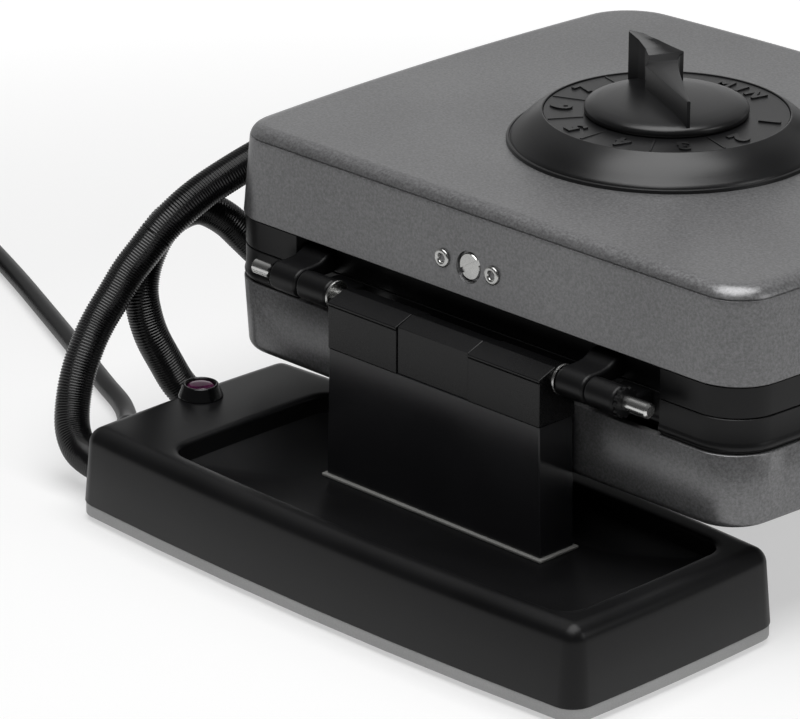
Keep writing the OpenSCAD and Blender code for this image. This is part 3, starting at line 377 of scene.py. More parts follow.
def rounded_rect(a, b, rear_r, front_r, steps=12, rear_stops=()):
    corners = [((a - rear_r, b - rear_r), rear_r, 0), ((rear_r - a, b - rear_r), rear_r, 90),
               ((front_r - a, front_r - b), front_r, 180), ((a - front_r, front_r - b), front_r, 270)]
    arcs = [quarter(c, r, start, steps) for c, r, start in corners]
    points = []
    for k, arc in enumerate(arcs):
        after = arcs[(k + 1) % 4][0]
        points += arc
        stops = [i / 24 for i in range(1, 24)]
        if k == 0 and rear_stops:
            xs = sorted([arc[-1][0] + (after[0] - arc[-1][0]) * s for s in stops] + list(rear_stops),
                        reverse=True)
            points += [(x, arc[-1][1]) for x in xs]
        else:
            points += [(arc[-1][0] + (after[0] - arc[-1][0]) * s, arc[-1][1] + (after[1] - arc[-1][1]) * s)
                       for s in stops]
    return points


def bulged(points, a, b, ends, front, rear):
    return [(x * (1 + ends / a * (1 - (y / b) ** 2)),
             y * (1 + (front if y < 0 else rear) / b * (1 - (x / a) ** 2))) for x, y in points]


POCKET_STOPS = tuple(end + step for end in POCKET[::-1] for step in (1.2, 0.4, -0.4, -1.2))


def iron_ring(inset, z, pocket=None):
    a, b = IRON_HALF - inset, IRON_DEPTH - inset
    stops = () if pocket is None else POCKET_STOPS
    flat = rounded_rect(a, b, max(REAR_R - inset, 6), max(FRONT_R - inset, 8), rear_stops=stops)
    ring = []
    for (u, v), (x, y) in zip(flat, bulged(flat, a, b, IRON_BOW, FRONT_BOW, 0)):
        if pocket and v > b - 0.001:
            into = min(POCKET[1] - u, u - POCKET[0])
            y -= pocket * min(max((into + 1.2) / 2.4, 0), 1)
        ring.append((x, y + IRON_Y, z))
    return ring


BASE_HALF, BASE_DEPTH, BASE_R, BASE_FORWARD = 135.4, 55.9, 8.5, 1.8
BASE_BOW, BASE_SIDE_BOW = 1.2, 4.9


def base_ring(inset, z):
    a, b, r = BASE_HALF - inset, BASE_DEPTH - inset, max(BASE_R - inset, 1.5)
    flat = bulged(rounded_rect(a, b, r, r), a, b, BASE_BOW, BASE_SIDE_BOW, BASE_SIDE_BOW)
    return [(x, y - BASE_FORWARD, z) for x, y in flat]


print("points in an iron ring", len(iron_ring(0, 0)), "and in a base ring", len(base_ring(0, 0)))


# %% [markdown]
# The upper shell is a cast cover with drafted walls, a generous round along the top and a flat
# top that carries the dial. The lower shell is the same idea, turned over and shallower. Each
# is one closed wall: inside ceiling, inside wall, bottom edge, outside wall, round, top. A fine
# crease runs along the foot of the upper one's round.

# %% Shells
SHELL_BASE, SHELL_TOP = 107.2, 144.3
TOP_ROUND, SHELL_WALL = 6.5, 3.0
TRAY_TOP, TRAY_BOTTOM, TRAY_ROUND = 80.2, 49.7, 4.0


def shell_rings(open_z, closed_z, draft, fillet, edge, creased=False):
    way = 1 if closed_z > open_z else -1
    lean = draft * (abs(closed_z - open_z) - fillet)
    ceiling = closed_z - way * SHELL_WALL
    rings = [iron_ring(lean + fillet + 30, ceiling), iron_ring(lean + fillet, ceiling),
             iron_ring(lean + SHELL_WALL, closed_z - way * fillet), iron_ring(SHELL_WALL, open_z),
             iron_ring(edge, open_z), iron_ring(0, open_z + way * edge)]
    crease = [(0, 0), (10, 0), (16, 0), (18, 0.5), (21, 0.5), (23, 0)]
    stops = crease if creased else [(0, 0), (10, 0), (20, 0)]
    for angle, sunk in stops + [(10 * i, 0) for i in range(3, 10)]:
        t = math.radians(angle)
        rings.append(iron_ring(lean + sunk + fillet * (1 - math.cos(t)),
                               closed_z - way * fillet * (1 - math.sin(t))))
    rings += [iron_ring(lean + fillet + extra, closed_z) for extra in (0.8, 4, 30)]
    return rings


def cut(piece, cutters):
    """Cuts holes, with helper meshes that are removed afterwards."""
    for points, faces in cutters:
        tool = make_piece("cutter", points, faces, shell_paint, None)
        hole = piece.modifiers.new("hole", "BOOLEAN")
        hole.object = tool
        hole.solver = "EXACT"
        done = bpy.data.meshes.new_from_object(piece.evaluated_get(bpy.context.evaluated_depsgraph_get()))
        piece.modifiers.clear()
        piece.data = done
        bpy.data.objects.remove(tool)
    piece.data.shade_smooth()
    piece.data.set_sharp_from_angle(angle=math.radians(35))


FASTENER_Z, SCREW_X, RIVETS_X = 119.4, 1.3, (15.2, -11.4)
SCREW_SEAT_Y = REAR_Y - 1.02 - 1.8

upper_rings = shell_rings(SHELL_BASE, SHELL_TOP, 0.084, TOP_ROUND, 0.4, creased=True)
upper_shell = make_piece("upper_shell_casting", *loft(upper_rings), shell_paint, None, crisp=50)
cut(upper_shell, [turned([(6.15, SCREW_SEAT_Y), (6.15, REAR_Y - 1.9), (6.5, REAR_Y - 1.0), (7.2, REAR_Y + 3)],
                         (SCREW_X, 0, FASTENER_Z), "Y", 64)])
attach(upper_shell, "upper_iron")
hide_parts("upper_shell")

lower_rings = shell_rings(TRAY_TOP, TRAY_BOTTOM, 0.06, TRAY_ROUND, 0.4)
make_piece("lower_shell_casting", *loft(lower_rings), shell_paint, "lower_iron", ["lower_shell"], "shell",
           crisp=50)
print("upper shell faces", len(upper_shell.data.polygons), "lower shell rings", len(lower_rings))

# %% [markdown]
# Between the shells lie the two black cast frames that hold the baking plates. Each is a closed
# band with a ledge inside, and the lower one ends in a rounded bead over a shadow gap. The band
# is a profile carried round the outline, which keeps the same thickness everywhere.

# %% Frames
WALL_IN, LEDGE_IN = 9.0, 14.0


def frame_band(name, profile, stands_for, body):
    rings = [iron_ring(inset, z, pocket=5.5 * share) for inset, z, share in profile]
    return make_piece(name, *loft(rings, joined=True), frame_coat, body, stands_for, "frame")


frame_band("upper_frame_casting", [
    (1.1, 94.55, 1), (0.8, 94.85, 1), (0.8, 106.6, 1), (1.4, 107.2, 1), (LEDGE_IN, 107.2, 0),
    (LEDGE_IN, 104.8, 0), (WALL_IN, 104.8, 0), (WALL_IN, 94.55, 0)], ["upper_frame"], "upper_iron")
frame_band("lower_frame_casting", [
    (WALL_IN, 94.25, 0), (1.1, 94.25, 1), (0.8, 93.95, 1), (0.8, 84.9, 1), (0.5, 84.2, 1), (0.3, 83.7, 1),
    (0.12, 83.0, 1), (0.2, 82.2, 1), (0.5, 81.6, 1), (1.2, 81.2, 1), (1.5, 80.9, 1), (1.5, 80.2, 1),
    (WALL_IN, 80.2, 0), (WALL_IN, 81.6, 0), (LEDGE_IN, 81.6, 0), (LEDGE_IN, 84.0, 0), (WALL_IN, 84.0, 0)],
    ["lower_frame"], "lower_iron")
print("frames carried round the outline, walls", WALL_IN, "mm thick")

# %% [markdown]
# Each frame carries two knuckles, cast in one with it: a barrel round the pin and an arm that
# flares into the frame's rear wall. The side view of barrel and arm is drawn as one outline and
# carried along the pin, and wide rounded ends give the soft look of a casting.

# %% Knuckles
BARREL_R = 6.0


def knuckle_outline(up, steps=18):
    """Side view as (y, z), from the wall round the barrel and back to the wall."""
    wall = REAR_Y - 6.5
    turns = [math.radians(-4 + 184 * i / steps) for i in range(steps + 1)]
    over = [(wall, 9.8), (REAR_Y - 3.2, 9.2), (REAR_Y - 0.6, 7.6), (REAR_Y + 1.8, 6.5), (REAR_Y + 5.2, 6.0)]
    barrel = [(PIN_Y + BARREL_R * math.sin(t), BARREL_R * math.cos(t)) for t in turns]
    under = [(PIN_Y - 3.4, -4.6), (PIN_Y - 5.4, -2.0), (PIN_Y - 6.6, 0.15), (wall, 0.15)]
    return [(y, PIN_Z + (1 if up else -1) * z) for y, z in over + barrel + under]


def knuckle(name, x0, x1, up, body):
    piece = make_piece(name, *extruded(knuckle_outline(up), (x0, x1), "X"), frame_coat, body, slot="frame")
    return bevelled(piece, 1.5, 5, angle=50)


for half, end, x0, x1 in (("lower", "left", 62.4, 79.0), ("lower", "right", -90.2, -75.2),
                          ("upper", "left", 79.3, 94.4), ("upper", "right", -74.9, -60.5)):
    knuckle(half + "_knuckle_" + end, x0, x1, half == "upper", half + "_iron")
    print(half, end, "knuckle", round(x1 - x0, 1), "mm wide")

# %% [markdown]
# The pin is ground steel with chamfered ends. Washers lie between the knuckles and the column's
# blocks, and a toothed ring pressed on each end keeps the pin in. Small parts like these catch
# the eye because they are the brightest, so they are turned with real chamfers.

# %% Pin, washers and retaining rings
PIN_HOLE_R = 3.05


def ring_on_pin(x0, x1, outer, chamfer=0.25, steps=64):
    profile = [(outer - chamfer, x0), (outer, x0 + chamfer), (outer, x1 - chamfer), (outer - chamfer, x1),
               (PIN_HOLE_R, x1), (PIN_HOLE_R, x0)]
    turns = [2 * math.pi * i / steps for i in range(steps)]
    return loft([[(x, PIN_Y + r * math.cos(t), PIN_Z + r * math.sin(t)) for t in turns] for r, x in profile],
                joined=True)


def toothed_ring(x0, x1, outer, teeth=12):
    steps = teeth * 8
    rings = []
    for r, h, deep in ((outer, x0, 1), (outer, x1, 1), (PIN_HOLE_R, x1, 0), (PIN_HOLE_R, x0, 0)):
        ring = []
        for i in range(steps):
            wave = 0.5 - 0.5 * math.cos(2 * math.pi * teeth * i / steps)
            rr = r - deep * 0.9 * wave ** 2
            ring.append((h, PIN_Y + rr * math.cos(2 * math.pi * i / steps),
                         PIN_Z + rr * math.sin(2 * math.pi * i / steps)))
        rings.append(ring)
    return loft(rings, joined=True)


PIN_ENDS = (-104.1, 107.7)
make_piece("ground_pin", *turned([(0.01, PIN_ENDS[0]), (2.1, PIN_ENDS[0]), (3, PIN_ENDS[0] + 0.9),
                                  (3, PIN_ENDS[1] - 0.7), (2.3, PIN_ENDS[1]), (0.01, PIN_ENDS[1])],
                                 (0, PIN_Y, PIN_Z), "X", 48), pin_steel, "stand", ["hinge_pin"], "pin")
make_piece("pin_washers", *merged(ring_on_pin(61.1, 62.1, 6.0), ring_on_pin(-60.2, -59.2, 6.0)),
           nickel, "stand", ["hinge_washers"], "steel")
make_piece("toothed_rings", *merged(toothed_ring(94.7, 95.7, 5.5), toothed_ring(-92.1, -90.5, 6.0)),
           frame_coat, "stand", ["pin_clips"], "steel")
print("pin", round(PIN_ENDS[1] - PIN_ENDS[0], 1), "mm long")

# %% [markdown]
# The column is a painted steel box, bolted to the base over a thin gasket. On top sit three
# house-shaped blocks that hold the pin. The two outer ones are a little larger, and a thin roof
# overhangs their faces, which draws a dark line under a bright edge.

# %% Column and hinge blocks
def block_outline(proud, roof):
    back, front = PIN_Y - 9.1 - proud, PIN_Y + 9.1 + proud
    low, eave = PIN_Z - 18, PIN_Z + 1.1
    outline = [(back, low), (front - 0.35 * roof, low), (front - 0.35 * roof, eave - 1.5 * roof)]
    if roof:
        outline += [(front, eave - 1.0)]
    return outline + [(front, eave), (PIN_Y + 1, PIN_Z + 4.2), (back, eave)]


for label, x0, x1, proud, roof in (("left", 19.2, 56.7, 0.7, 1), ("right", -56.7, -19.2, 0.7, 1),
                                   ("centre", -19.0, 19.0, -0.2, 0)):
    node = "hinge_centre_block" if label == "centre" else "hinge_cap_" + label
    block = make_piece("hinge_block_" + label, *extruded(block_outline(proud, roof), (x0, x1), "X"),
                       cap_coat, "stand", [node], "column")
    bevelled(block, 0.4, 3, angle=25)

# The column takes the lightened enamel: painted light against the shade under the blocks.
column = make_piece("column_box", *extruded([(-57.9, 23.2), (57.9, 23.2), (56.5, 76.4), (-56.5, 76.4)],
                                            (PIN_Y - 9.1, PIN_Y + 9.1), "Y"),
                    column_enamel_lightened_for_shade, "stand", ["column"], "column")
bevelled(column, 0.45, 3)
print("column and three blocks made")

# %% [markdown]
# The base is a moulded cover over a grey painted plate. Its deck has a dished recess round the
# column: a short wall and a floor that slopes down to the column's foot. Cover and recess are
# two stacks of rings with a narrow rolled rim between them, so the rim catches the light.

# %% Base cover
DECK_Z, COVER_Z, RECESS_DEPTH, RECESS_WALL = 38.0, 6.9, 16.0, 7.5


def recess_rings():
    mid, a, b = (92.3 - 120.5) / 2, (92.3 + 120.5) / 2, 43.0
    rim_flat = rounded_rect(a, b, 9, 9)
    rim = [(x + mid, y) for x, y in bulged(rim_flat, a, b, 0.9, 2.85, 2.85)]
    fa, fb = 61.9, 13.1
    flat = [(x, y + PIN_Y) for x, y in bulged(rounded_rect(fa, fb, 3, 3), fa, fb, 0.5, 0.5, 0.5)]
    rings = []
    for out, z in ((3.0, DECK_Z), (1.3, DECK_Z - 0.05), (0.5, DECK_Z - 0.35), (0.1, DECK_Z - 0.9),
                   (0.0, DECK_Z - 1.6), (-0.35, DECK_Z - RECESS_WALL + 1.4)):
        rings.append([(x + mid, y, z) for x, y in bulged(rounded_rect(a + out, b + out, 9 + out, 9 + out),
                                                         a + out, b + out, 0.9, 2.85, 2.85)])
    for s in (0.02, 0.06, 0.14, 0.25, 0.4, 0.55, 0.7, 0.85, 1.0):
        drop = RECESS_WALL + (RECESS_DEPTH - RECESS_WALL) * math.sin(math.radians(90 * s))
        rings.append([(r[0] + s * (f[0] - r[0]), r[1] + s * (f[1] - r[1]), DECK_Z - drop)
                      for r, f in zip(rim, flat)])
    return rings


def base_rings():
    lean, fillet = 0.085 * 24.1, 7.0
    rings = [base_ring(inset, COVER_Z + lift)
             for inset, lift in ((8, 1), (3, 1), (3, 0), (0.3, 0), (0, 0.4))]
    for i in range(0, 10):
        t = math.radians(10 * i)
        rings.append(base_ring(lean + fillet * (1 - math.cos(t)), DECK_Z - fillet + fillet * math.sin(t)))
    return rings


def loft_open(rings):
    points, faces = loft(rings)
    return points, faces[:-2]


cover_points, cover_faces = loft_open(base_rings() + recess_rings())
ring_size = len(base_ring(0, 0))
cover_faces += [tuple(range(ring_size))[::-1],
                tuple(range(len(cover_points) - ring_size, len(cover_points)))]
base_cover = make_piece("base_cover_moulding", cover_points, cover_faces, base_coat, "stand", ["base_cover"],
                        "base_cover", crisp=50)
print("base cover faces", len(base_cover.data.polygons))

# %% [markdown]
# The lamp is a small conical bezel with a rolled top edge and a domed lens inside it. A groove
# just inside the edge separates the two, and shows as a thin pale ring round a dark lens.

# %% Lamp
LAMP_AT = (124.5, -3.0)
bezel_profile = [(5.5, DECK_Z + 0.02), (9.0, DECK_Z + 0.02), (9.0, DECK_Z + 0.5), (8.8, DECK_Z + 0.9),
                 (7.5, DECK_Z + 4.4)]
bezel_profile += [(6.6 + 0.7 * math.cos(math.radians(a)), DECK_Z + 4.7 + 0.7 * math.sin(math.radians(a)))
                  for a in range(10, 171, 20)]
bezel_profile += [(5.6, DECK_Z + 4.0), (5.5, DECK_Z + 2.4)]
make_piece("lamp_bezel_turned", *turned(bezel_profile, (*LAMP_AT, 0)), lamp_plastic, "stand",
           ["lamp_bezel"], "lamp")
make_piece("lamp_lens_dome", *turned([(5.45, DECK_Z + 2.6), (5.45, DECK_Z + 4.3), (5.1, DECK_Z + 4.75),
                                      (4.2, DECK_Z + 5.05), (2.5, DECK_Z + 5.3), (0.8, DECK_Z + 5.38)],
                                     (*LAMP_AT, 0)), lens_plastic, "stand", ["lamp_lens"], "lens")
print("lamp bezel drawn with", len(bezel_profile), "points")

# %% [markdown]
# The shells' fasteners: a slotted screw sunk in a round recess, and a hollow rivet on each side
# of it. Their crowns are rolled, not flat, and the slot is cut at a slight angle.

# %% Screw and rivets
def rivet(x):
    face = REAR_Y - 0.9
    profile = [(0.01, -2.2), (2.4, -2.2), (2.4, 0), (3.6, 0), (3.8, 0.2), (3.8, 0.5), (3.6, 0.8), (3.2, 0.98),
               (2.7, 1.05), (2.2, 1.0), (1.8, 0.8), (1.5, 0.4), (1.4, 0), (1.35, -1.8), (0.01, -1.8)]
    return turned([(r, face + y) for r, y in profile], (x, 0, FASTENER_Z), "Y", 64)


make_piece("hollow_rivets", *merged(*[rivet(x) for x in RIVETS_X]), nickel, "upper_iron",
           ["shell_rivets"], "steel")
SCREW_HEAD = [(0.01, -1), (5.0, -1), (5.2, 0.3), (5.3, 0.9), (5.0, 1.3), (0.01, 1.6)]
screw = make_piece("slotted_screw", *turned([(r, SCREW_SEAT_Y + y) for r, y in SCREW_HEAD],
                                            (SCREW_X, 0, FASTENER_Z), "Y", 64), nickel, None)
SLOT_ANGLE = math.radians(31)
SLOT = ((-7, -1.1), (7, -1.1), (7, 1.1), (-7, 1.1))
slot_tool = extruded([(SCREW_X + u * math.cos(SLOT_ANGLE) + v * math.sin(SLOT_ANGLE),
                       FASTENER_Z - u * math.sin(SLOT_ANGLE) + v * math.cos(SLOT_ANGLE)) for u, v in SLOT],
                     (SCREW_SEAT_Y + 0.4, SCREW_SEAT_Y + 3), "Y")
cut(screw, [slot_tool])
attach(screw, "upper_iron")
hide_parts("shell_screw")
print("screw faces with its slot", len(screw.data.polygons))

# %% [markdown]
# The dial has a wide sloping bezel with a double rim, a flat ring with raised numbers, and a
# knob. All are the same black moulding, so only light and shade draw the numbers. The bezel and
# the ring are turned, and the numbers are type turned into solid letters.

# %% Dial bezel and scale
RING_Z = 156.5
DOUBLE_RIM = [(60.0, 0.02), (62.9, 0.02), (62.95, 0.9), (62.8, 1.35), (62.4, 1.55), (61.9, 1.5), (61.6, 1.2),
              (61.3, 1.3), (61.05, 1.9), (60.4, 2.6)]
bezel = [(r, SHELL_TOP + z) for r, z in DOUBLE_RIM]
slope = [(60.4 + (49.6 - 60.4) * t, SHELL_TOP + 2.5 + (12.0 - 2.5) * (t + 0.1 * math.sin(math.pi * t)))
         for t in [i / 10 for i in range(1, 11)]]
bezel += slope + [(49.35, RING_Z - 0.05), (49.0, RING_Z), (48.7, RING_Z - 0.15), (48.6, RING_Z - 1.1),
                  (12, RING_Z - 1.1), (12, RING_Z - 3), (46, RING_Z - 3)]
make_piece("dial_bezel_moulding", *turned(bezel, (0, DIAL_Y, 0), steps=192), dial_plastic, "upper_iron",
           ["dial_bezel"], "grip")
SCALE_RING = ((14, -1.0), (48.3, -1.0), (48.5, -0.7), (48.3, -0.5), (14, -0.5))
around = [2 * math.pi * i / 192 for i in range(192)]
scale_rings = [[(r * math.cos(a), DIAL_Y + r * math.sin(a), RING_Z + z) for a in around] for r, z in SCALE_RING]
make_piece("scale_ring_moulding", *loft(scale_rings, joined=True), dial_plastic, "upper_iron",
           ["scale_ring"], "grip")


def raised_type(name, text, radius, angle, size, height):
    """Letters whose tops point away from the dial's centre."""
    font = bpy.data.curves.new(name, "FONT")
    font.body = text
    font.size = size * MM
    font.align_x = "CENTER"
    font.align_y = "CENTER"
    font.extrude = height / 2 * MM
    font.bevel_depth = 0.08 * MM
    font.offset = 0.3 * MM
    font.resolution_u = 4
    helper = bpy.data.objects.new(name, font)
    bpy.context.scene.collection.objects.link(helper)
    bpy.context.view_layer.update()
    mesh = bpy.data.meshes.new_from_object(helper.evaluated_get(bpy.context.evaluated_depsgraph_get()))
    bpy.data.objects.remove(helper)
    a = math.radians(angle)
    centre = Vector((radius * math.cos(a), DIAL_Y + radius * math.sin(a), RING_Z - 0.5 + height / 2))
    mesh.transform(Matrix.Translation(centre * MM) @ Matrix.Rotation(a - math.pi / 2, 4, "Z"))
    return mesh


NUMBERS = (("1", -152.0), ("2", 174.7), ("3", 141.4), ("4", 108.2), ("5", 74.3), ("6", 38.3), ("7", 4.3))
marks = [raised_type("number_" + text, text, 41, angle, 11.8, 0.55) for text, angle in NUMBERS]
for step, letter in enumerate("MIN"):
    marks.append(raised_type("low_end_" + letter, letter, 41, -93.5 + 12.2 * (1 - step), 9.6, 0.55))
joined = bmesh.new()
for mesh in marks:
    joined.from_mesh(mesh)
all_marks = bpy.data.meshes.new("dial_numbers")
joined.to_mesh(all_marks)
joined.free()
all_marks.materials.clear()
all_marks.materials.append(dial_plastic)
dial_numbers = bpy.data.objects.new("dial_numbers", all_marks)
bpy.context.scene.collection.objects.link(dial_numbers)
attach(dial_numbers, "upper_iron")


def tick(angle, r0=33.6, r1=47.8, half=0.35, z0=RING_Z - 0.6, z1=RING_Z - 0.15):
    a = math.radians(angle)
    along, across = Vector((math.cos(a), math.sin(a))), Vector((-math.sin(a), math.cos(a)))
    section = ((-half - 0.2, z0), (-half, z1), (half, z1), (half + 0.2, z0))
    return loft([[(*(Vector((0, DIAL_Y)) + along * r + across * w), z) for w, z in section]
                 for r in (r0, r1)])


make_piece("scale_ticks", *merged(*[tick(a) for a in (160.4, 124.8, 88.5, 56.6, 22.3, -17.0)]),
           dial_plastic, "upper_iron", slot="grip", crisp=20)
print("raised numbers and letters:", len(marks))

# %% [markdown]
# The knob is a shallow dome with a wedge of a grip standing on it. The grip rises to a high
# tail, with a hollow for the thumb on one side and for the finger on the other. It is cut into
# thin slices from end to end, each with its own width and height, and skinned over them.

# %% Knob
POINTER = 150.7
GRIP_TAIL, GRIP_TIP = -32, 31.3
LOW_EDGE = ((GRIP_TAIL, -5.6), (-31.4, -5.9), (-28, -3), (-24, -1.4), (-20, -1.2), (-16, -3), (-12.8, -4.8),
            (GRIP_TIP, -2.4))
HIGH_EDGE = ((GRIP_TAIL, -5.2), (-30.5, 0), (-27.5, 5), (-24, 10), (-21.2, 13.8), (-20.2, 13.4), (-19, 11.5),
             (-16.5, 9.8), (-12, 8.4), (-4, 6.2), (9.8, 3.2), (20, 1), (GRIP_TIP, -1))
CREST = ((GRIP_TAIL, 180.1), (-28.7, 177.6), (-24, 174.6), (-20.6, 172.8), (-16, 171.5), (-12.8, 171.3),
         (GRIP_TIP, 170.7))


def along_table(table, x):
    for (x0, y0), (x1, y1) in zip(table, table[1:]):
        if x <= x1:
            return y0 + (y1 - y0) * (x - x0) / (x1 - x0)
    return table[-1][1]


def grip_slices():
    xs = sorted({x for t in (LOW_EDGE, HIGH_EDGE, CREST) for x, _ in t}
                | {GRIP_TAIL + 0.75 * i for i in range(85)})
    slices = []
    a = math.radians(POINTER)
    for x in [v for v in xs if v <= GRIP_TIP]:
        low, high, top = along_table(LOW_EDGE, x), along_table(HIGH_EDGE, x), along_table(CREST, x)
        r = min(0.5, (high - low) * 0.3)
        section = [(low, RING_Z + 1.5), (low, top - r), (low + 0.3 * r, top - 0.3 * r), (low + r, top),
                   ((low + high) / 2, top), (high - r, top), (high - 0.3 * r, top - 0.3 * r), (high, top - r),
                   (high, RING_Z + 1.5)]
        slices.append([(x * math.cos(a) - y * math.sin(a), DIAL_Y + x * math.sin(a) + y * math.cos(a), z)
                       for y, z in section])
    return slices


KNOB_Z = 156.3
KNOB_DISC = [(29, 0.5), (31.2, 0), (32.2, 0.2), (32.5, 0.7), (32.5, 1.9), (32.2, 2.7), (31.5, 3.4), (30.0, 4.1),
             (27.5, 4.7), (22, 5.2), (14, 5.55), (6, 5.7), (0.5, 5.7)]
disc = turned([(r, KNOB_Z + z) for r, z in KNOB_DISC], (0, DIAL_Y, 0), steps=160)
make_piece("knob_disc", *disc, dial_plastic, "knob", ["thermostat_knob"], "grip")
make_piece("knob_grip", *loft(grip_slices()), dial_plastic, "knob", slot="grip", crisp=40)
print("slices in the grip", len(grip_slices()))

# %% [markdown]
# A hose or cord is a tube along a smooth route. The route is a handful of points that are
# rounded by a spline and then stepped evenly, and a frame is carried along it without twist. A
# ribbed hose has one groove that winds round it like a thread.

# %% Routes and tubes
def smooth_route(points, step):
    """Evenly stepped points on a Catmull-Rom spline."""
    p = [Vector(v) for v in points]
    p = [2 * p[0] - p[1]] + p + [2 * p[-1] - p[-2]]
    fine = []
    for a, b, c, d in zip(p, p[1:], p[2:], p[3:]):
        for i in range(24):
            t = i / 24
            fine.append(0.5 * ((2 * b) + (c - a) * t + (2 * a - 5 * b + 4 * c - d) * t * t
                               + (3 * b - a - 3 * c + d) * t ** 3))
    fine.append(p[-2])
    lengths = [0.0]
    for a, b in zip(fine, fine[1:]):
        lengths.append(lengths[-1] + (b - a).length)
    count = max(2, round(lengths[-1] / step))
    route, k = [], 0
    for i in range(count + 1):
        want = lengths[-1] * i / count
        while k < len(lengths) - 2 and lengths[k + 1] < want:
            k += 1
        span = max(lengths[k + 1] - lengths[k], 1e-9)
        route.append(fine[k].lerp(fine[k + 1], (want - lengths[k]) / span))
    return route, lengths[-1]


def softened(route, rounds):
    for _ in range(rounds):
        inner = [(a + 2 * b + c) / 4 for a, b, c in zip(route, route[1:], route[2:])]
        route = [route[0]] + inner + [route[-1]]
    return route


def tube_rings(route, radius, around):
    """radius(distance, angle) gives the tube's surface."""
    rings, side, gone = [], Vector((0, 0, 1)), 0.0
    for i, at in enumerate(route):
        along = (route[min(i + 1, len(route) - 1)] - route[max(i - 1, 0)]).normalized()
        side = (side - side.dot(along) * along)
        if side.length < 1e-6:
            side = along.orthogonal()
        side.normalize()
        other = along.cross(side)
        if i:
            gone += (at - route[i - 1]).length
        turns = [2 * math.pi * k / around for k in range(around)]
        rings.append([at + radius(gone, t) * (math.cos(t) * side + math.sin(t) * other) for t in turns])
    return rings


HOSE_R, HOSE_RIB, RIB_DEPTH = 7.25, 1.15, 0.45


def ribbed(distance, angle):
    wave = 0.5 - 0.5 * math.cos(2 * math.pi * distance / HOSE_RIB - angle)
    return HOSE_R - RIB_DEPTH * (1 - wave) ** 1.5


UPPER_HOSE = [
    (142, 34, 13.5), (148, 34, 13.5), (157, 33.5, 16), (164, 31, 22), (168, 27, 31), (169.5, 22.5, 42),
    (169.5, 17, 53), (169, 11, 62), (167, 5, 71), (165, -1.5, 80.5), (162, -8, 89), (159.5, -15, 97),
    (156.5, -23, 104), (154.5, -33, 109.5), (152, -43, 114), (150.5, -54, 117.5), (149.5, -66, 120.5),
    (149.5, -80, 122.8), (149.5, -88, 123.5), (149.5, -94.7, 123.5)]
LOWER_HOSE = [
    (142, -27, 20), (147, -27, 20), (154, -25.5, 22), (159, -22, 28), (162.5, -18, 38), (165.5, -14, 48.5),
    (168, -12.4, 58), (170, -12.4, 68), (171.5, -16.5, 79), (171, -24, 90.5), (168.5, -32, 96.5),
    (165, -41, 98), (160, -50, 92), (156, -57, 83.5), (153, -65, 74.5), (150.5, -75, 68), (150, -88, 66),
    (150, -94, 66), (150, -99.7, 66)]
HOSE_STEP = HOSE_RIB / 5


def hose(name, route, nodes):
    piece = make_piece(name, *loft(tube_rings(route, ribbed, 28)), hose_rubber, None, nodes, "hose", crisp=80)
    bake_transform(piece)


ROUNDS = 60
AT_HINGE = Vector((160.2, -12.6, 94.2))
upper_route = softened(smooth_route(UPPER_HOSE, HOSE_STEP)[0], ROUNDS)
split = min(range(len(upper_route)), key=lambda i: (upper_route[i] - AT_HINGE).length)
hose("upper_hose_to_hinge", upper_route[:split + 1],
     ["upper_hose"])
hose("upper_hose_from_hinge", upper_route[split:],
     [])
lower_route = softened(smooth_route(LOWER_HOSE, HOSE_STEP)[0], ROUNDS)
hose("lower_hose_ribbed", lower_route, ["lower_hose"])

# %% [markdown]
# The mains cord leaves the base through a tapered sleeve, drops to the table and runs off to
# the side. The spare length is wound into a flat coil of two layers, held by a strap, with the
# plug beside it. Here the coil is written turn by turn, as it would be wound by hand.

# %% Mains cord
CORD_R = 4.2
LYING_Z = 4.3
CORD_OUT = [(163.9, -3, 13), (168.5, -3.4, 12.4), (174, -6.8, 9.2), (182, -13.6, 5.7), (190, -21, 4.4)]
CORD_OUT += [(x, y, LYING_Z) for x, y in ((203, -29.2), (223, -38.2), (248, -49.8), (275, -62.2), (305, -75.8),
                                          (338, -90.6), (370, -104.2), (393, -113.2), (408, -116.2))]
COIL_AT = (430.0, -62.0)
LEAD = [(x, y, LYING_Z) for x, y in ((487.5, -28), (484.5, -18), (483, -6), (482, 4), (482, 12))]
# turn angle in degrees, radius, height
WINDING = [(-106, 56.6, 4.3), (-60, 54.6, 4.3), (150, 54.4, 4.3), (230, 45.8, 4.3), (450, 45.8, 4.3),
           (545, 45.8, 12.6), (770, 45.8, 12.6), (850, 54.4, 12.6), (1045, 54.4, 12.8), (1075, 57.5, 11.4),
           (1092, 62.5, 5.4), (1103, 64.6, 4.3)]


def wound():
    points = []
    for (a0, r0, z0), (a1, r1, z1) in zip(WINDING, WINDING[1:]):
        steps = max(2, round((a1 - a0) / 12))
        for i in range(steps):
            t = i / steps
            s = t * t * (3 - 2 * t)
            a = math.radians(a0 + (a1 - a0) * t)
            r, z = r0 + (r1 - r0) * s, z0 + (z1 - z0) * s
            points.append((COIL_AT[0] + r * math.cos(a), COIL_AT[1] + r * math.sin(a), z))
    return points


cord_route, cord_length = smooth_route(CORD_OUT + wound() + LEAD, 2.0)
print("cord", round(cord_length), "mm")
cord = make_piece("mains_cord", *loft(tube_rings(cord_route, lambda d, a: CORD_R, 20)), cord_rubber, "stand",
                  ["power_cord", "cord_coil", "plug_lead"], "cord", crisp=80)

PLUG_X, PLUG_Z, PIN_APART, TABLE_GAP = 482.0, 17.0, 9.5, 0.05


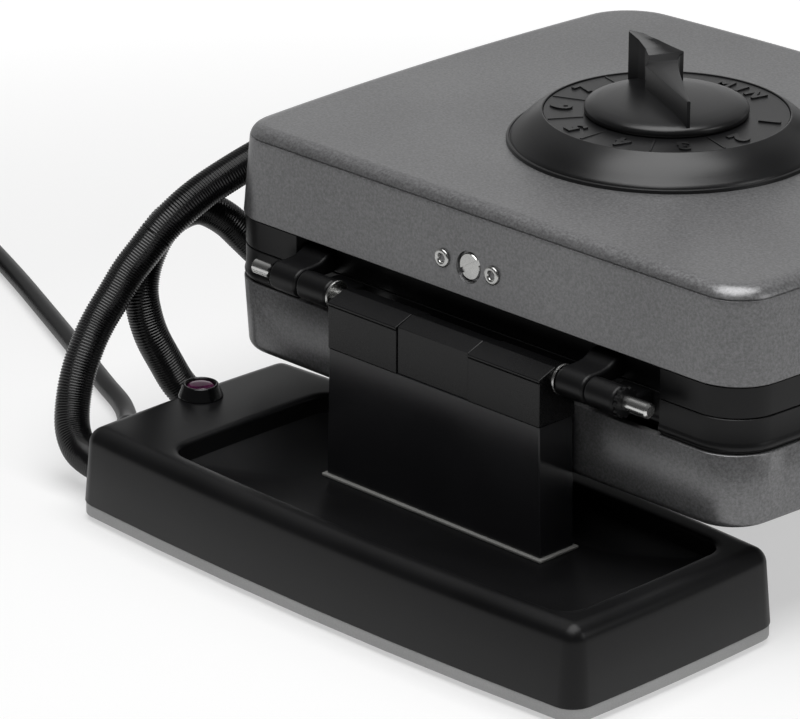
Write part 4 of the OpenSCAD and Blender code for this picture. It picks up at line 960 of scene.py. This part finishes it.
def plug_body():
    """A round two-pin plug as (radius, y): sleeve, ribbed neck, and a body with flattened sides."""
    profile = [(4.3, 12.0), (5.4, 12.2)]
    for i in range(5):
        profile += [(5.7 + 0.15 * i, 13.2 + 2.6 * i), (5.9 + 0.15 * i, 14.6 + 2.6 * i), (5.1, 14.9 + 2.6 * i),
                    (5.1, 15.5 + 2.6 * i)]
    profile += [(8.5, 27.0), (12.5, 29.5), (15.2, 33.0), (16.6, 38.0), (17.0, 44.0), (17.0, 54.5), (16.4, 55.6),
                (15.6, 56.0), (1.0, 56.0)]
    rings = []
    for r, y in profile:
        centre = CORD_R + (PLUG_Z - CORD_R) * min(max((y - 14) / 24, 0), 1)
        ring = []
        for i in range(64):
            a = 2 * math.pi * i / 64
            wide = min(r, 13.5) / r if r > 13.5 else 1.0
            z = centre + r * math.sin(a) * (0.82 + 0.18 * wide)
            ring.append((PLUG_X + r * math.cos(a), y, max(z, TABLE_GAP)))
        rings.append(ring)
    return loft(rings)


plug = make_piece("plug_body", *plug_body(), cord_rubber, "stand", ["mains_plug"], "cord")
PLUG_PIN = [(2.4, 54), (2.4, 73.6), (2.0, 74.6), (1.2, 75.0), (0.1, 75.0)]
pins = [turned(PLUG_PIN, (PLUG_X + PIN_APART * s, 0, PLUG_Z), "Y", 32) for s in (-1, 1)]
plug_pins = make_piece("plug_pins", *merged(*pins), nickel, "stand", slot="steel")


def strap():
    """A hook-and-loop strap round the coil's section."""
    a = math.radians(200)
    out = Vector((math.cos(a), math.sin(a), 0))
    across = Vector((-math.sin(a), math.cos(a), 0))
    base = Vector((*COIL_AT, 0))
    loop = []
    for r, z, start in ((58.9, 16.2, 0), (41.3, 16.2, 90), (41.3, 1.8, 180), (58.9, 1.8, 270)):
        loop += quarter((r, z), 1.4, start)
    inner = [(50.1 + (r - 50.1) * 0.9, 9.0 + (z - 9.0) * 0.88) for r, z in loop]
    rings = []
    for edge, line in ((-7, loop), (7, loop), (7, inner), (-7, inner)):
        rings.append([base + out * r + across * edge + Vector((0, 0, z)) for r, z in line])
    return loft(rings, joined=True)


tie = make_piece("coil_strap", *strap(), gland_plastic, "stand", slot="gland")


# %% [markdown]
# The cord's sleeve tapers and has a row of cuts that let it bend, and each hose sits in a
# flanged gland. The sleeve is turned about the cord's own direction.

# %% Sleeve and glands
def sleeve():
    profile = [(5.0, 132.5), (8.5, 132.6), (8.6, 141.6), (7.5, 142.0)]
    for i in range(6):
        x, r = 142.6 + 3.5 * i, 7.2 - 0.36 * i
        profile += [(r, x), (r - 0.1, x + 2.3), (r - 1.2, x + 2.5), (r - 1.3, x + 3.3)]
    profile += [(5.1, 163.6), (4.5, 164.0), (4.0, 164.0)]
    return turned(profile, (0, -3, 13), "X", 48)


make_piece("cord_sleeve", *sleeve(), gland_plastic, "stand", ["cord_gland"], "gland", crisp=30)
GLAND_NUT = [(5.0, 132.5), (8.6, 132.6), (8.6, 140.9), (8.2, 141.6), (7.6, 141.9), (1.0, 141.9)]
gland_shapes = [turned(GLAND_NUT, (0, y, z), "X", 6) for y, z in ((34, 13.5), (-27, 20))]
glands = make_piece("hose_gland_nuts", *merged(*gland_shapes), gland_plastic, "stand", ["hose_glands"], "gland")
bevelled(glands, 0.6, 3)
print("hose glands:", len(gland_shapes))

# %% [markdown]
# On the user's side each half has a steel bracket, a grip and a leg. These are the usual ones
# of a flip-over iron: the lower leg stands on the table, and the upper one takes the weight
# when the lid lies open. The grip swells towards its middle, so a hand finds it.

# %% Grips and legs
HANDLE_Y = -310.7


def squared(angle, power):
    """Cosine and sine, pushed out towards a square: a superellipse."""
    c, s = math.cos(angle), math.sin(angle)
    return math.copysign(abs(c) ** power, c), math.copysign(abs(s) ** power, s)


def grip_shape(up):
    side = 1 if up else -1
    flat_z = 94.55 if up else 94.25
    rings = []
    for i in range(25):
        x = -34 + 68 * i / 24
        t = abs(x) / 34
        swell = (1 - t ** 6) ** 0.5 if t < 1 else 0.0
        half_y = 9 + 6 * swell * (0.9 + 0.1 * math.cos(math.pi * t))
        half_z = 4.5 + 3.0 * swell
        ring = []
        for k in range(32):
            u, v = squared(2 * math.pi * k / 32, 0.55)
            ring.append((x, HANDLE_Y + u * half_y, flat_z + side * (half_z + v * half_z)))
        rings.append(ring)
    return loft(rings)


def leg_shape(foot_z, top_z):
    """A tapered leg with a shoe at its foot, from the table up."""
    rings = []
    for t, w, d in ((0.0, 10.5, 3.2), (0.004, 11.4, 3.7), (0.06, 11.8, 4.0), (0.5, 11.0, 3.7), (0.9, 12.0, 4.0),
                    (1.0, 12.0, 4.0)):
        z = foot_z + (top_z - foot_z) * t
        round_about = [squared(2 * math.pi * k / 40, 0.4) for k in range(40)]
        rings.append([(u * w, HANDLE_Y + v * d, z) for u, v in round_about])
    return loft(rings)


for half, up in (("lower", False), ("upper", True)):
    make_piece(half + "_grip_moulding", *grip_shape(up), grip_plastic, half + "_iron", [half + "_grip"], "grip",
               crisp=60)
    low, high = (corner.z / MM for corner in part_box(half + "_leg"))
    ends = (high, low) if up else (low, high)
    make_piece(half + "_leg_moulding", *leg_shape(*ends), grip_plastic, half + "_iron", [half + "_leg"], "grip",
               crisp=60)
    print(half, "leg from", round(low, 1), "to", round(high, 1), "mm")

# %% [markdown]
# Each hose ends in an elbow on the iron's left side. An elbow is a moulded socket: square where
# it meets the shell, with soft edges and a rounded outer end. A soft square, drawn as a
# superellipse that shrinks towards its end, gives that in one loft.

# %% Elbows
def elbow(centre, wall_x, outer_x, y_back):
    rings = []
    for t, rounded in ((0, 0), (0.03, 0), (0.2, 0), (0.5, 0), (0.75, 0), (0.92, 0.03), (0.98, 0.12), (1, 0.45)):
        half = 9.9 * (1 - 0.12 * t - rounded)
        ends = [squared(2 * math.pi * k / 48, 0.5) for k in range(48)]
        rings.append([(wall_x + (outer_x - wall_x) * t, y_back - 10 + u * half, centre + v * half * 0.78)
                      for u, v in ends])
    return loft(rings)


for half, centre, wall_x, outer_x, y_back in (("upper", 123.4, 140.9, 158.5, -95.2),
                                              ("lower", 66.0, 141.2, 159.2, -100.2)):
    make_piece(half + "_elbow", *elbow(centre, wall_x, outer_x, y_back), gland_plastic, half + "_iron",
               [half + "_fitting"], "gland", crisp=60)
    print(half, "elbow stands out", round(outer_x - wall_x, 1), "mm")

# %% [markdown]
# The pieces whose CAD shape is already right get a material and a small round on their edges.
# Modifiers do that without a change to the mesh.

# %% CAD nodes that stay
dress("lower_waffle_plate upper_waffle_plate", baking_plate, 0.9, 3)
dress("base_plate", plate_paint, 0.25)
dress("column_gasket", gasket, 0.3)
dress("rubber_feet", foot_rubber, 0.6)
dress("base_screws tie_bolts lower_shell_screws reflector_screws thermostat_nut", zinc, 0.25)
dress("thermostat_shaft", nickel, 0.2)
dress("column_anchor lower_bracket upper_bracket", zinc, 0.5)
dress("lower_element upper_element", element_steel, 0)
dress("lower_reflector upper_reflector", aluminised, 0)
dress("thermostat terminal_block", ceramic, 0.3)
dress("neon_lamp", lamp_glass, 0)


# %% [markdown]
# The studio: a wide pale floor, a large soft light overhead, and a smaller one at the side. The
# floor looks white to the camera and through clear plastic, glows a little for shiny surfaces,
# and still takes the shadows. The sky is dark on one side, which draws dark lines on the rounds.

# %% Floor, sky and lights
FLOOR_M, FLOOR_Z = 9.0, -0.0004


def camera_or_clear(paths, tree):
    """1 for rays from the camera, also where they came through something clear."""
    camera, clear = paths.outputs["Is Camera Ray"], paths.outputs["Is Transmission Ray"]
    return add(tree, "ShaderNodeMath", {0: camera, 1: clear}, operation="MAXIMUM").outputs[0]


def make_floor():
    mesh = bpy.data.meshes.new("floor")
    mesh.from_pydata([(x * FLOOR_M, y * FLOOR_M, FLOOR_Z) for x, y in ((-1, -1), (1, -1), (1, 1), (-1, 1))],
                     [], [(0, 1, 2, 3)])
    floor = bpy.data.objects.new("floor", mesh)
    bpy.context.scene.collection.objects.link(floor)
    material = bpy.data.materials.new("pale_studio_floor")
    material.use_nodes = True
    tree = material.node_tree
    tree.nodes.clear()
    paths = add(tree, "ShaderNodeLightPath")
    seen = camera_or_clear(paths, tree)
    place = add(tree, "ShaderNodeTexCoord").outputs["Object"]
    far = add(tree, "ShaderNodeVectorMath", {0: place}, operation="LENGTH").outputs["Value"]
    sweep = add(tree, "ShaderNodeMapRange", {"Value": far, "From Min": 0.35, "From Max": 1.3, "To Min": 0.5,
                                             "To Max": 1.15}, interpolation_type="SMOOTHSTEP").outputs["Result"]
    glow_seen = add(tree, "ShaderNodeMath", {0: seen, 1: sweep}, operation="MULTIPLY").outputs[0]
    glow = add(tree, "ShaderNodeMath", {0: paths.outputs["Is Glossy Ray"], 1: 0.3, 2: glow_seen},
               operation="MULTIPLY_ADD").outputs[0]
    plain = add(tree, "ShaderNodeBsdfDiffuse", {"Color": srgb("#bcbcbc")})
    light = add(tree, "ShaderNodeEmission", {"Color": (1, 1, 1, 1), "Strength": glow})
    mix = add(tree, "ShaderNodeAddShader", {0: plain.outputs[0], 1: light.outputs[0]})
    add(tree, "ShaderNodeOutputMaterial", {"Surface": mix.outputs[0]})
    mesh.materials.append(material)


BRIGHT_SIDE = (0.71, -0.7, 0.0)


def make_world():
    world = bpy.data.worlds.new("studio")
    bpy.context.scene.world = world
    world.use_nodes = True
    tree = world.node_tree
    tree.nodes.clear()
    way = add(tree, "ShaderNodeTexCoord").outputs["Generated"]

    def toward(direction, start, end, low, high):
        """A soft patch of sky round a direction."""
        part = add(tree, "ShaderNodeVectorMath", {0: way, 1: direction}, operation="DOT_PRODUCT")
        return add(tree, "ShaderNodeMapRange",
                   {"Value": part.outputs["Value"], "From Min": start, "From Max": end, "To Min": low,
                    "To Max": high}, interpolation_type="SMOOTHSTEP").outputs["Result"]

    room = toward(BRIGHT_SIDE, 0.1, 0.75, 0.06, 0.34)
    backdrop = toward(BRIGHT_SIDE, 0.94, 0.99, 0.0, 0.66)
    sky = add(tree, "ShaderNodeMath", {0: room, 1: backdrop}, operation="ADD").outputs[0]
    paths = add(tree, "ShaderNodeLightPath")
    seen = camera_or_clear(paths, tree)
    strength = add(tree, "ShaderNodeMix", {0: seen, 2: sky, 3: 1.0}).outputs[0]
    light = add(tree, "ShaderNodeBackground", {"Color": (1, 1, 1, 1), "Strength": strength})
    add(tree, "ShaderNodeOutputWorld", {"Surface": light.outputs[0]})


def soft_light(name, place, target, size, power):
    data = bpy.data.lights.new(name, "AREA")
    data.shape = "RECTANGLE"
    data.size, data.size_y = size
    data.energy = power
    lamp = bpy.data.objects.new(name, data)
    lamp.location = place
    lamp.rotation_euler = (Vector(target) - Vector(place)).to_track_quat("-Z", "Y").to_euler()
    bpy.context.scene.collection.objects.link(lamp)


make_floor()
make_world()
soft_light("overhead_softbox", (-0.15, 0.15, 1.3), (-0.15, 0.15, 0), (1.1, 1.3), 18)
soft_light("side_softbox", (-1.7, -0.7, 0.9), (0, -0.1, 0.05), (0.7, 0.7), 4)
bpy.context.scene.view_settings.view_transform = "Standard"
print("lamps:", [lamp.name for lamp in bpy.data.lights])
